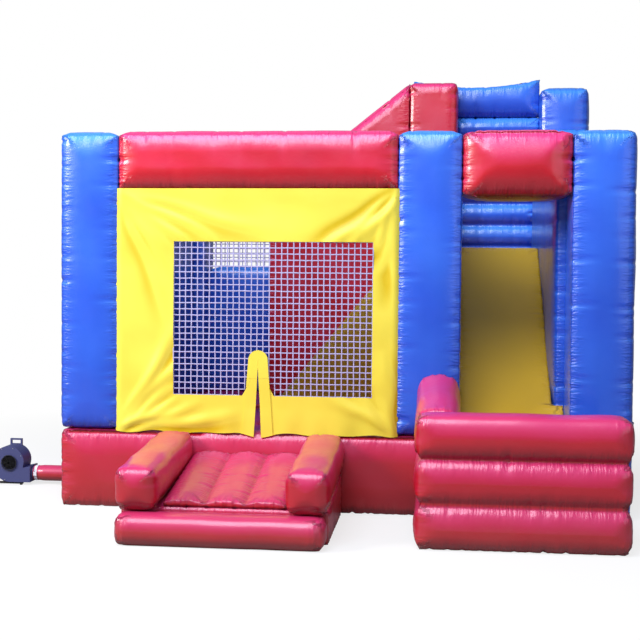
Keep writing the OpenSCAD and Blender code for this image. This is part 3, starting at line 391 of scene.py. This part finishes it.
# %% Even mesh of a chamber
VOXEL = 0.025
SEAM_ANGLE = radians(38)
WELD = 2e-5
SLIVER = 0.0015


def welded(node):
    """A copy of a CAD node's outer skin, its triangles joined and the walls of its air space left out."""
    solid = bmesh.new()
    solid.from_mesh(frame["nodes"][node].data)
    bmesh.ops.remove_doubles(solid, verts=solid.verts, dist=WELD)
    seen, inner = set(), []
    for first in solid.verts:
        if first in seen:
            continue
        shell, front = {first}, [first]
        while front:
            around = {edge.other_vert(vert) for vert in front for edge in vert.link_edges} - shell
            shell |= around
            front = list(around)
        seen |= shell
        faces = {face for vert in shell for face in vert.link_faces}
        volume = sum(face.normal.dot(face.calc_center_median()) * face.calc_area() for face in faces)
        if volume < 0:
            inner += list(shell)
    bmesh.ops.delete(solid, geom=inner, context="VERTS")
    return solid


def seam_tree(solid, least_angle, spacing):
    """The sharp edges as points in a search tree, with the axis that each edge runs along."""
    points, axes = [], []
    for edge in solid.edges:
        if len(edge.link_faces) != 2 or edge.calc_face_angle(0.0) < least_angle:
            continue
        narrow = 2 * min(face.calc_area() for face in edge.link_faces) / edge.calc_length()
        if narrow < SLIVER:
            continue
        start, end = edge.verts[0].co, edge.verts[1].co
        way = end - start
        axis = max(range(3), key=lambda k: abs(way[k]))
        count = max(1, ceil(way.length / spacing))
        for step in range(count):
            points.append(start.lerp(end, (step + 0.5) / count))
            axes.append(axis)
    tree = KDTree(max(len(points), 1))
    for index, point in enumerate(points or [Vector((1e3, 1e3, 1e3))]):
        tree.insert(point, index)
    tree.balance()
    return tree, axes or [0]


def link(obj):
    """Puts a new object in the scene."""
    bpy.context.scene.collection.objects.link(obj)
    return obj


def applied(obj):
    """The object's mesh with its modifiers applied, and the modifiers removed."""
    bpy.context.view_layer.update()
    seen = obj.evaluated_get(bpy.context.evaluated_depsgraph_get())
    mesh = bpy.data.meshes.new_from_object(seen)
    old, name = obj.data, obj.data.name
    obj.modifiers.clear()
    obj.data = mesh
    bpy.data.meshes.remove(old)
    mesh.name = name
    return obj


def even_mesh(solid, name, voxel):
    """The solid as an object of even squares."""
    mesh = bpy.data.meshes.new(name)
    solid.to_mesh(mesh)
    obj = link(bpy.data.objects.new(name, mesh))
    remesh = obj.modifiers.new("even", "REMESH")
    remesh.mode = "VOXEL"
    remesh.voxel_size = voxel
    return applied(obj)


# %% [markdown]
# The wrinkles are worked out with numpy on all points at once. Beside a seam the cloth gathers in short
# grooves across it, in groups, because the thread holds the edge shorter than the cloth. Everywhere else the
# skin is slightly uneven, which is what breaks up the reflections on a real chamber.

# %% Wrinkles of a chamber
SEAM_PULL = 0.008
SKIN_WAVE = 0.004
TOUCH = 0.003
pad_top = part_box("landing_pad")[1].z


def points_of(mesh):
    """The mesh's points as an array."""
    flat = np.empty(len(mesh.vertices) * 3)
    mesh.vertices.foreach_get("co", flat)
    return flat.reshape(-1, 3)


def normals_of(mesh):
    """The mesh's point normals as an array."""
    flat = np.empty(len(mesh.vertices) * 3)
    mesh.vertices.foreach_get("normal", flat)
    return flat.reshape(-1, 3)


def set_points(mesh, points):
    """Moves the mesh's points."""
    mesh.vertices.foreach_set("co", np.ascontiguousarray(points).ravel())
    mesh.update()


def smoothed(mesh, points, rounds, weight=0.5):
    """Each point drawn towards the middle of its neighbours."""
    pairs = np.empty(len(mesh.edges) * 2, int)
    mesh.edges.foreach_get("vertices", pairs)
    one, other = pairs.reshape(-1, 2).T
    count = np.bincount(pairs, minlength=len(points))[:, None]
    for _ in range(rounds):
        total = np.stack([np.bincount(one, points[other, k], len(points))
                          + np.bincount(other, points[one, k], len(points)) for k in range(3)], 1)
        points = points + weight * (total / np.maximum(count, 1) - points)
    return points


def waves(run, phase, lengths):
    """A repeatable rough wave: the sum of sines of these lengths, from -1 to 1."""
    total = sum(np.sin(2 * pi * run / length + phase * (1.3 + k) + k) for k, length in enumerate(lengths))
    return total / len(lengths)


def seam_fields(points, tree, axes):
    """For each point: the gap to the nearest seam, the run along it, and a phase that differs per seam."""
    gap, run, phase = (np.empty(len(points)) for _ in range(3))
    for index, point in enumerate(points):
        place, found, distance = tree.find(point)
        axis = axes[found]
        others = [place[k] for k in range(3) if k != axis]
        gap[index], run[index] = distance, point[axis]
        phase[index] = 3.1 * round(others[0] * 4) + 5.7 * round(others[1] * 4) + axis
    return gap, run, phase


def crisp(points, skin, tree, gap, voxel):
    """Draws the points near a seam back onto the solid's skin, and the nearest ones onto the seam."""
    for index in np.nonzero(gap < 3 * voxel)[0]:
        found = skin.find_nearest(points[index])[0]
        if gap[index] < 0.55 * voxel:
            found = tree.find(points[index])[0]
        if found is not None:
            points[index] = found
    return points


def wrinkled(obj, skin, tree, axes, voxel, depth, reach, slump):
    """Gathers the cloth beside the seams, makes the rest uneven, and stores the seam fields."""
    mesh = obj.data
    points = smoothed(mesh, points_of(mesh), 1)
    gap, run, phase = seam_fields(points, tree, axes)
    set_points(mesh, crisp(points, skin, tree, gap, voxel))
    points = points_of(mesh)
    fold = np.clip(waves(run, phase, (0.071, 0.113, 0.049)) - 0.1, 0, None)
    group = 0.55 + 0.45 * waves(run, phase + 2, (0.53, 0.83))
    length = reach * (0.7 + 0.5 * waves(run, phase + 4, (0.19, 0.31)))
    grooves = depth * 1.8 * fold * group * np.exp(-(gap / length) ** 2)
    pulled = SEAM_PULL * np.exp(-(gap / 0.03) ** 2) - TOUCH
    x, y, z = points.T
    uneven = SKIN_WAVE * (waves(x + 0.7 * z, 1.0, (0.9, 0.55)) + waves(y - 0.6 * z, 2.0, (0.7, 0.43)))
    low_end = np.clip(1 - (z - pad_top) / 0.55, 0, 1)
    uneven += slump * low_end * waves(y + 0.03 * np.sin(7 * x), 1.5, (0.13, 0.2))
    uneven = uneven * (1 - np.exp(-(gap / 0.12) ** 2))
    shift = uneven - grooves - pulled
    points = points + normals_of(mesh) * shift[:, None]
    points[:, 2] = np.maximum(points[:, 2], 0)
    set_points(mesh, points)
    near = np.clip(1 - gap / SEAM_FIELD, 0, 1)
    for name, values in (("seam_near", near), ("seam_run", run)):
        mesh.attributes.new(name, "FLOAT", "POINT").data.foreach_set("value", values.astype(np.float32))
    mesh.polygons.foreach_set("use_smooth", np.ones(len(mesh.polygons), bool))


def inflate(node, voxel=VOXEL, angle=SEAM_ANGLE, depth=0.012, reach=0.12, slump=0.0, fill=0.95):
    """Replaces a chamber's CAD solid with its sewn, air-filled form."""
    solid = welded(node)
    tree, axes = seam_tree(solid, angle, voxel / 3)
    obj = even_mesh(solid, "air_" + node, voxel)
    wrinkled(obj, BVHTree.FromBMesh(solid), tree, axes, voxel, depth, reach, slump)
    solid.free()
    obj.data.materials.append(finishes[slot_of[node]])
    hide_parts(node)
    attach(obj, house_body)
    return obj


# %% [markdown]
# Each chamber gets its own numbers only where it needs them: the slanted ramps have blunter seams, and what
# the camera hardly sees gets larger squares.

# %% The air chambers
FAR = 1.5 * VOXEL
SLANTED = radians(30)
GROOVED = radians(16)
BLUNT = radians(50)
chamber_plan = {
    "bounce_base": {}, "slide_base": {"voxel": FAR},
    "column_front_left": {}, "column_front_middle": {}, "column_front_right": {},
    "column_rear_left": {}, "column_rear_middle": {"voxel": FAR}, "column_rear_right": {},
    "beam_front": {}, "beam_slide": {}, "beam_left": {}, "beam_rear": {},
    "left_wall": {}, "rear_wall": {}, "divider_wall": {}, "right_wall": {},
    "guard_wall": {"angle": SLANTED}, "guard_block": {}, "tower_back_wall": {}, "tower_back_beam": {},
    "platform": {"voxel": FAR}, "climb_side_wall": {"angle": SLANTED}, "climb_ramp": {"voxel": FAR},
    "slide_chute": {"slump": 0.012}, "landing_pad": {}, "exit_front_wall": {}, "exit_left_wall": {},
    "ramp_pad": {}, "ramp_lip": {}, "ramp_channels": {"voxel": 0.5 * VOXEL, "angle": GROOVED},
    "ramp_bolster_left": {"angle": BLUNT}, "ramp_bolster_right": {"angle": BLUNT},
    "climb_steps": {"voxel": 0.6 * VOXEL},
}
chambers = {node: inflate(node, **plan) for node, plan in chamber_plan.items()}
faces = sum(len(obj.data.polygons) for obj in chambers.values())
print(len(chambers), "air chambers with", faces, "squares")

# %% [markdown]
# The bounce room is closed at the front by one large sheet of coated cloth, sewn in along the columns, the
# beam and the base. The window pulls on it, so tight folds run from the corners of the bay to the corners of
# the window, and its lower hem hangs in slow waves. A grid whose lines follow the window and the slanted
# folds of the entrance gives clean edges; its points are then pushed out by the folds.

# %% Shape of the front panel
CLOTH = 0.003
GRID = 0.02
HEM_WAVE = 0.012
TUCK = 0.022
# strength of the painted shade in the hollows of the folds
FOLD_PAINTED_SHADE = 150.0


def entrance_half(z):
    """Half the width of the entrance triangle at the height z."""
    return flap_width * max(slit_top - z, 0.0) / (slit_top - hem_z)


def slit_half(z):
    """Half the width of the slit between the flaps at the height z."""
    return slit_half_low * max(slit_top - z, 0.0) / (slit_top - hem_z)


def between(start, end, spacing=GRID):
    """Evenly spaced values from start to end."""
    return np.linspace(start, end, max(2, ceil(abs(end - start) / spacing) + 1))


def stress_folds(x, z):
    """Tight diagonal folds from the corners of the bay to the corners of the window, in metres."""
    total = np.zeros_like(x)
    corners = [(panel_low.x, panel_high.z, window_low.x, window_high.z, 0.7),
               (panel_high.x, panel_high.z, window_high.x, window_high.z, 1.4),
               (panel_low.x, hem_z, window_low.x, window_low.z, 1.2),
               (panel_high.x, hem_z, window_high.x, window_low.z, 1.0)]
    for number, (bay_x, bay_z, win_x, win_z, strength) in enumerate(corners):
        length = sqrt((win_x - bay_x) ** 2 + (win_z - bay_z) ** 2)
        way_x, way_z = (win_x - bay_x) / length, (win_z - bay_z) / length
        for turn, far in ((-0.42, 1.9), (-0.24, 1.4), (-0.08, 1.1), (0.1, 1.2), (0.27, 1.5), (0.45, 2.1)):
            dir_x, dir_z = way_x * cos(turn) - way_z * sin(turn), way_x * sin(turn) + way_z * cos(turn)
            along = ((x - bay_x) * dir_x + (z - bay_z) * dir_z) / length
            across = (x - bay_x) * dir_z - (z - bay_z) * dir_x
            crease = across + 0.012 * np.sin(along * 5 + number + turn * 9)
            fade = np.clip(np.sin(np.clip(along, 0, far) * pi / far), 0, None)
            width = 0.02 + 0.022 * np.clip(along, 0, far)
            total += strength * 0.016 * fade * np.exp(-(crease / width) ** 2)
            total -= strength * 0.009 * fade * np.exp(-((crease - 1.6 * width) / (1.1 * width)) ** 2)
    return total


def panel_shape(x, z):
    """How far the panel stands out at a place, and how far its hem hangs down."""
    side = np.minimum(x - panel_low.x, panel_high.x - x)
    held = np.clip(np.minimum(side, panel_high.z - z) / 0.12, 0, 1)
    out = stress_folds(x, z) + 0.006 * waves(x + 0.4 * z, 1.0, (0.83, 0.47))
    out = out + 0.004 * waves(z, 3.0, (0.61, 0.37))
    near_hem = np.clip(1 - (z - hem_z) / 0.2, 0, 1)
    hang = HEM_WAVE * near_hem ** 2 * waves(x, 2.0, (0.36, 0.57))
    ripple = 0.008 * near_hem * waves(x, 0.7, (0.23, 0.41))
    free = np.clip(side / 0.1, 0, 1)
    tuck = TUCK * np.clip(1 - side / 0.03, 0, 1)
    return out * held + (ripple + 0.008 * near_hem) * free - tuck, hang * free


# %% Cloth from a grid of points
def cloth_object(name, rows, keep, material, thickness=CLOTH, area=None):
    """A sheet from rows of (x, z) points: keep(row, column) says which squares stay."""
    grid = np.array(rows)
    height, width = grid.shape[:2]
    x, z = grid[..., 0], grid[..., 1]
    out, hang = panel_shape(x, z)
    front = np.stack([x, panel_low.y - out, z + hang], -1).reshape(-1, 3)
    faces = [(r * width + c, r * width + c + 1, (r + 1) * width + c + 1, (r + 1) * width + c)
             for r in range(height - 1) for c in range(width - 1) if keep(r, c)]
    mesh = bpy.data.meshes.new(name)
    mesh.from_pydata([tuple(point) for point in front], [], faces)
    work = bmesh.new()
    work.from_mesh(mesh)
    bmesh.ops.delete(work, geom=[v for v in work.verts if not v.link_faces], context="VERTS")
    bmesh.ops.remove_doubles(work, verts=work.verts, dist=WELD)
    bmesh.ops.dissolve_degenerate(work, edges=work.edges, dist=WELD)
    work.to_mesh(mesh)
    work.free()
    obj = link(bpy.data.objects.new(name, mesh))
    solidify = obj.modifiers.new("thickness", "SOLIDIFY")
    solidify.thickness = thickness
    solidify.offset = 1.0
    applied(obj)
    mesh = obj.data
    mesh.polygons.foreach_set("use_smooth", np.ones(len(mesh.polygons), bool))
    mesh.set_sharp_from_angle(angle=SEAM_ANGLE)
    x, _, z = points_of(mesh).T
    # The fold attribute holds painted shade: the hollows of the folds get a darker tone.
    dip = (-FOLD_PAINTED_SHADE * stress_folds(x, z)).astype(np.float32)
    mesh.attributes.new("fold", "FLOAT", "POINT").data.foreach_set("value", dip)
    mesh.materials.append(material)
    return obj


# %% Front panel
columns_outer = between(panel_low.x, window_low.x)
columns_right = between(window_high.x, panel_high.x)
half_count = ceil((window_high.x - window_low.x) / 2 / GRID)
share = np.linspace(0, 1, half_count + 1)
heights = np.unique(np.concatenate([between(hem_z, window_low.z), between(window_low.z, window_high.z),
                                    between(window_high.z, panel_high.z)]).round(5))
panel_rows = []
for z in heights:
    half = entrance_half(z)
    left = window_low.x + share * (x_slit - half - window_low.x)
    right = x_slit + half + share * (window_high.x - x_slit - half)
    line = np.concatenate([columns_outer[:-1], left, right, columns_right[1:]])
    panel_rows.append([(x, z) for x in line])
left_end = len(columns_outer) - 1
middle = left_end + half_count
right_start = middle + 1 + half_count


def panel_keeps(row, column):
    """Keeps a square unless it lies in the window or in the entrance."""
    in_window = left_end <= column < right_start and window_low.z - WELD < heights[row] < window_high.z - WELD
    return not in_window and not (column == middle and heights[row] < slit_top)


panel = cloth_object("front_panel_cloth", panel_rows, panel_keeps, sheet_yellow)
panel_area = sum(face.area for face in panel.data.polygons) / 2
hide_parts("front_panel")
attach(panel, house_body)
print("Front panel of", round(panel_area, 2), "square metres")

# %% [markdown]
# A child gets in through an upside-down V: two triangular flaps that meet at a slit and fold out of the way
# along slanted lines. A padded yellow trim goes round the slit like an upside-down U.

# %% Entrance flaps and trim
TRIM_THICK = 0.008
TRIM_TOP = 0.078
TRIM_FOOT = 0.125
arch_z = trim_high.z - TRIM_TOP


def trim_edge(z):
    """Outer edge of the trim's legs, which spread towards the hem."""
    down = min(max((arch_z - z) / (arch_z - hem_z), 0.0), 1.0)
    return TRIM_TOP + (TRIM_FOOT - TRIM_TOP) * down


def strip_rows(z_from, z_to, inner, outer, side, count):
    """Rows of points between two outlines, on one side of the slit."""
    rows = []
    for z in between(z_from, z_to):
        near, far = inner(z), outer(z)
        line = np.linspace(near, far, count + 1) if side > 0 else np.linspace(-far, -near, count + 1)
        rows.append([(x_slit + x, z) for x in line])
    return rows


def raise_by(obj, distance):
    """Moves a sheet towards the front."""
    obj.data.transform(Matrix.Translation((0, -distance, 0)))


def droop(obj, depth):
    """Lets the loose corner of a flap hang lower than the hem."""
    for vert in obj.data.vertices:
        low = max(0.0, 1 - (vert.co.z - hem_z) / 0.22)
        near = max(0.0, 1 - abs(vert.co.x - x_slit) / 0.16)
        vert.co.z -= depth * low * near
        vert.co.y -= 0.012 * low * near


def flap(side, name):
    """One entrance flap with its share of the trim."""
    node, body = "entrance_flap_" + name, "flap_" + name
    rows = strip_rows(hem_z, flap_top, slit_half, entrance_half, side, ceil(0.3 / GRID))
    cloth = cloth_object("flap_cloth_" + name, rows, lambda r, c: True, sheet_yellow)
    leg_rows = strip_rows(hem_z, flap_top, slit_half, lambda z: min(trim_edge(z), entrance_half(z)), side,
                          ceil(0.1 / GRID))
    leg = cloth_object("flap_trim_" + name, leg_rows, lambda r, c: True, sheet_yellow, TRIM_THICK)
    raise_by(leg, CLOTH)
    fold = Vector((side * flap_width, 0, hem_z - slit_top)).normalized()
    inward = Vector((-side * fold.z, 0, side * fold.x)) * -1
    if inward.x * side > 0:
        inward = -inward
    for piece in (cloth, leg):
        droop(piece, 0.02)
        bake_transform(piece)
    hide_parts(node)
    return cloth


flaps = [flap(-1, "left"), flap(1, "right")]
crossing = max(z for z in between(hem_z, flap_top, 0.004) if entrance_half(z) > trim_edge(z))


def leg_inner(z):
    """Inner edge of the fixed part of the trim."""
    return slit_half(z) + 0.0005 if z > flap_top else min(entrance_half(z), trim_edge(z) - 0.001)


trim_parts = []
for side in (-1, 1):
    for low, high in ((crossing + 0.004, flap_top), (flap_top + 0.001, arch_z)):
        rows = strip_rows(low, high, leg_inner, trim_edge, side, ceil(0.1 / GRID))
        trim_parts.append(cloth_object("trim_leg", rows, lambda r, c: True, sheet_yellow, TRIM_THICK))
arch_rows = [[(x_slit + r * cos(a), arch_z + r * sin(a)) for a in between(pi, 0, 0.12)]
             for r in between(0.001, TRIM_TOP, 0.015)]
trim_parts.append(cloth_object("slit_trim_cloth", arch_rows, lambda r, c: True, sheet_yellow, TRIM_THICK))
trim = trim_parts[-1]
bpy.ops.object.select_all(action="DESELECT")
for part in trim_parts:
    part.select_set(True)
bpy.context.view_layer.objects.active = trim
bpy.ops.object.join()
raise_by(trim, CLOTH + 0.001)
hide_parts("slit_trim")
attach(trim, house_body)
print("Two flaps and the trim")

# %% [markdown]
# The window and the opening over the rear wall are closed by knotless net, so children can be seen and air
# comes in. A net is one mesh of square cells repeated hundreds of times. Geometry Nodes makes it from a few
# inputs: a grid whose edges become strands.

# %% Geometry Nodes: netting
NET_PITCH = 0.049
STRAND = 0.0052


def geo_tree(name, inputs):
    """A Geometry Nodes tree with named inputs: (name, type, value)."""
    tree = bpy.data.node_groups.new(name, "GeometryNodeTree")
    tree.interface.new_socket("Geometry", in_out="OUTPUT", socket_type="NodeSocketGeometry")
    for label, kind, value in inputs:
        socket = tree.interface.new_socket(label, in_out="INPUT", socket_type=kind)
        if kind != "NodeSocketMaterial":
            socket.default_value = value
    return tree, tree.nodes.new("NodeGroupInput"), tree.nodes.new("NodeGroupOutput")


netting, source, result = geo_tree("netting", [
    ("Width", "NodeSocketFloat", 1.6), ("Height", "NodeSocketFloat", 1.2),
    ("Pitch", "NodeSocketFloat", NET_PITCH), ("Strand", "NodeSocketFloat", STRAND),
    ("Slack", "NodeSocketFloat", 0.004), ("Seed", "NodeSocketInt", 3),
    ("Entrance X", "NodeSocketFloat", 0.0), ("Entrance Top", "NodeSocketFloat", -9.0),
    ("Entrance Slope", "NodeSocketFloat", 0.56), ("Material", "NodeSocketMaterial", None)])
width, height, pitch = (source.outputs[n] for n in ("Width", "Height", "Pitch"))
across = math(netting, "ADD", math(netting, "ROUND", math(netting, "DIVIDE", width, pitch)), 1.0)
upward = math(netting, "ADD", math(netting, "ROUND", math(netting, "DIVIDE", height, pitch)), 1.0)
grid = add(netting, "GeometryNodeMeshGrid", {}, Size_X=width, Size_Y=height,
           Vertices_X=across, Vertices_Y=upward)
place = add(netting, "GeometryNodeInputPosition").outputs[0]
parts = add(netting, "ShaderNodeSeparateXYZ", {}, Vector=place)
half = math(netting, "MULTIPLY", math(netting, "SUBTRACT", source.outputs["Entrance Top"], parts.outputs[1]),
            source.outputs["Entrance Slope"])
off_middle = math(netting, "SUBTRACT", parts.outputs[0], source.outputs["Entrance X"])
off_middle = math(netting, "ABSOLUTE", off_middle)
inside = add(netting, "FunctionNodeCompare", {"data_type": "FLOAT", "operation": "LESS_THAN"},
             i0=off_middle, i1=half)
open_net = add(netting, "GeometryNodeDeleteGeometry", {"domain": "POINT"}, Geometry=grid.outputs[0],
               Selection=inside.outputs[0])
shake = add(netting, "FunctionNodeRandomValue", {"data_type": "FLOAT_VECTOR"}, i0=(-0.5, -0.5, -1.0),
            i1=(0.5, 0.5, 1.0), Seed=source.outputs["Seed"])
slack = add(netting, "ShaderNodeVectorMath", {"operation": "SCALE"}, i0=shake.outputs[0],
            Scale=source.outputs["Slack"])
loose = add(netting, "GeometryNodeSetPosition", {}, Geometry=open_net.outputs[0], Offset=slack.outputs[0])
strands = add(netting, "GeometryNodeMeshToCurve", {}, Mesh=loose.outputs[0])
ring = add(netting, "GeometryNodeCurvePrimitiveCircle", {}, Resolution=6, Radius=source.outputs["Strand"])
tubes = add(netting, "GeometryNodeCurveToMesh", {}, Curve=strands.outputs[0], Profile_Curve=ring.outputs[0])
finished = add(netting, "GeometryNodeSetMaterial", {}, Geometry=tubes.outputs[0],
               Material=source.outputs["Material"])
real = add(netting, "GeometryNodeRealizeInstances", {}, Geometry=finished.outputs[0])
netting.links.new(real.outputs[0], result.inputs[0])


# %% The two nets
def make_net(name, node, seed, entrance_x=0.0, entrance_top=-9.0):
    """A net that fills the box of a CAD node, standing upright."""
    low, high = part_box(node)
    obj = link(bpy.data.objects.new(name, bpy.data.meshes.new(name)))
    modifier = obj.modifiers.new("netting", "NODES")
    modifier.node_group = netting
    values = {"Width": high.x - low.x, "Height": high.z - low.z, "Seed": seed, "Material": net_white,
              "Entrance X": entrance_x, "Entrance Top": entrance_top, "Strand": STRAND, "Slack": 0.003,
              "Pitch": NET_PITCH, "Entrance Slope": flap_width / (slit_top - hem_z)}
    for item in netting.interface.items_tree:
        if item.in_out == "INPUT":
            modifier[item.identifier] = values[item.name]
    applied(obj)
    points = points_of(obj.data)
    middle = (low + high) / 2
    upright = np.stack([middle.x + points[:, 0], middle.y + 0.4 * points[:, 2], middle.z + points[:, 1]], 1)
    set_points(obj.data, upright)
    work = bmesh.new()
    work.from_mesh(obj.data)
    bmesh.ops.recalc_face_normals(work, faces=work.faces)
    work.to_mesh(obj.data)
    work.free()
    obj.data.polygons.foreach_set("use_smooth", np.ones(len(obj.data.polygons), bool))
    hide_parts(node)
    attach(obj, house_body)
    return obj


window_middle = (window_low + window_high) / 2
front_net = make_net("window_net", "front_net", 3, x_slit - window_middle.x, slit_top - window_middle.z)
rear_net = make_net("rear_wall_net", "rear_net", 8)
print("Nets with", sum(len(net.data.polygons) for net in (front_net, rear_net)), "faces")

# %% [markdown]
# The house stands on a pale floor that fades into white. The world and the floor look white to the
# camera only, so the light on the object stays plain. Soft lamps stand in for an open sky: one large cool
# lamp above, a warmer one from the front left, and a weak fill.

# %% Floor and world
scene = bpy.context.scene
scene.view_settings.view_transform = "Standard"

floor_mesh = bpy.data.meshes.new("floor")
floor_half = 60.0
floor_mesh.from_pydata([(-floor_half, -floor_half, 0), (floor_half, -floor_half, 0),
                        (floor_half, floor_half, 0), (-floor_half, floor_half, 0)], [], [(0, 1, 2, 3)])
floor = link(bpy.data.objects.new("floor", floor_mesh))
floor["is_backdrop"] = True
material, tree, shader = new_material("pale_floor")
shader.inputs["Roughness"].default_value = 0.9
glow = add(tree, "ShaderNodeEmission", {}, Color=(1, 1, 1, 1), Strength=1.0)
seen = add(tree, "ShaderNodeLightPath").outputs["Is Camera Ray"]
tree.links.new(mixed(tree, seen, (0.34, 0.34, 0.36, 1), (0.82, 0.82, 0.82, 1)), shader.inputs["Base Color"])
place = add(tree, "ShaderNodeTexCoord").outputs["Object"]
away = add(tree, "ShaderNodeVectorMath", {"operation": "LENGTH"}, i0=place).outputs["Value"]
fade = add(tree, "ShaderNodeMapRange", {}, Value=away, From_Min=2.5, From_Max=6.5, To_Min=0.72, To_Max=1.0)
mix = add(tree, "ShaderNodeMixShader", {}, i0=math(tree, "MULTIPLY", seen, fade.outputs[0]),
          i1=shader.outputs[0], i2=glow.outputs[0])
output = next(n for n in tree.nodes if n.type == "OUTPUT_MATERIAL")
tree.links.new(mix.outputs[0], output.inputs[0])
floor_mesh.materials.append(material)

world = bpy.data.worlds.new("open_sky")
scene.world = world
world.use_nodes = True
tree = world.node_tree
tree.nodes.clear()
WORLD_LIGHT = 0.3
sky = add(tree, "ShaderNodeBackground", {}, Color=(0.86, 0.92, 1.0, 1), Strength=WORLD_LIGHT)
white = add(tree, "ShaderNodeBackground", {}, Color=(1, 1, 1, 1), Strength=1.0)
path = add(tree, "ShaderNodeLightPath")
seen = math(tree, "MAXIMUM", path.outputs["Is Camera Ray"], path.outputs["Is Transmission Ray"])
mix = add(tree, "ShaderNodeMixShader", {}, i0=seen, i1=sky.outputs[0], i2=white.outputs[0])
output = add(tree, "ShaderNodeOutputWorld", {}, Surface=mix.outputs[0])
print("Floor and world are ready")

# %% Lamps
def lamp(name, place, target, size, watts, color):
    """A square soft lamp that looks at a target."""
    data = bpy.data.lights.new(name, "AREA")
    data.shape = "SQUARE"
    data.size = size
    data.energy = watts
    data.color = color
    obj = link(bpy.data.objects.new(name, data))
    obj.location = place
    obj.rotation_euler = (Vector(target) - Vector(place)).to_track_quat("-Z", "Y").to_euler()
    return obj


lamp("sky_lamp", (-1.5, -7.5, 8.5), (0, 0, 0.5), 6.0, 1050, (0.8, 0.86, 1.0))
lamp("key_lamp", (-9.5, -7.5, 6.0), (0, -0.5, 1.2), 3.0, 1150, (1.0, 0.96, 0.92))
lamp("fill_lamp", (9.0, -10.0, 4.0), (0.5, 0, 1.2), 6.0, 130, (0.95, 0.96, 1.0))
print("Three lamps")

# %% [markdown]
# The camera stands where a visitor would, a little to the right of the middle and at eye height, and looks
# slightly down and to the left.

# %% Camera
CAMERA_PLACE = Vector((0.784, -10.713, 1.870))
CAMERA_YAW, CAMERA_DOWN, CAMERA_ROLL = 0.1042, 0.0362, 0.0088
LENS = 64.2
forward = Vector((-sin(CAMERA_YAW) * cos(CAMERA_DOWN), cos(CAMERA_YAW) * cos(CAMERA_DOWN), -sin(CAMERA_DOWN)))
right = Vector((cos(CAMERA_YAW), sin(CAMERA_YAW), 0))
up = right.cross(forward)
turned_right = right * cos(CAMERA_ROLL) + up * sin(CAMERA_ROLL)
turned_up = up * cos(CAMERA_ROLL) - right * sin(CAMERA_ROLL)
camera_data = bpy.data.cameras.new("camera")
camera_data.sensor_width = 36.0
camera_data.lens = LENS
camera = link(bpy.data.objects.new("camera", camera_data))
rotation = Matrix((turned_right, turned_up, -forward)).transposed()
camera.matrix_world = Matrix.Translation(CAMERA_PLACE) @ rotation.to_4x4()
scene.camera = camera
print("Camera", round(camera_data.lens, 1), "mm")

# %% Sizes and finish
low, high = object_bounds()
print("The dressed house spans", [round(b - a, 3) for a, b in zip(low, high)], "metres")
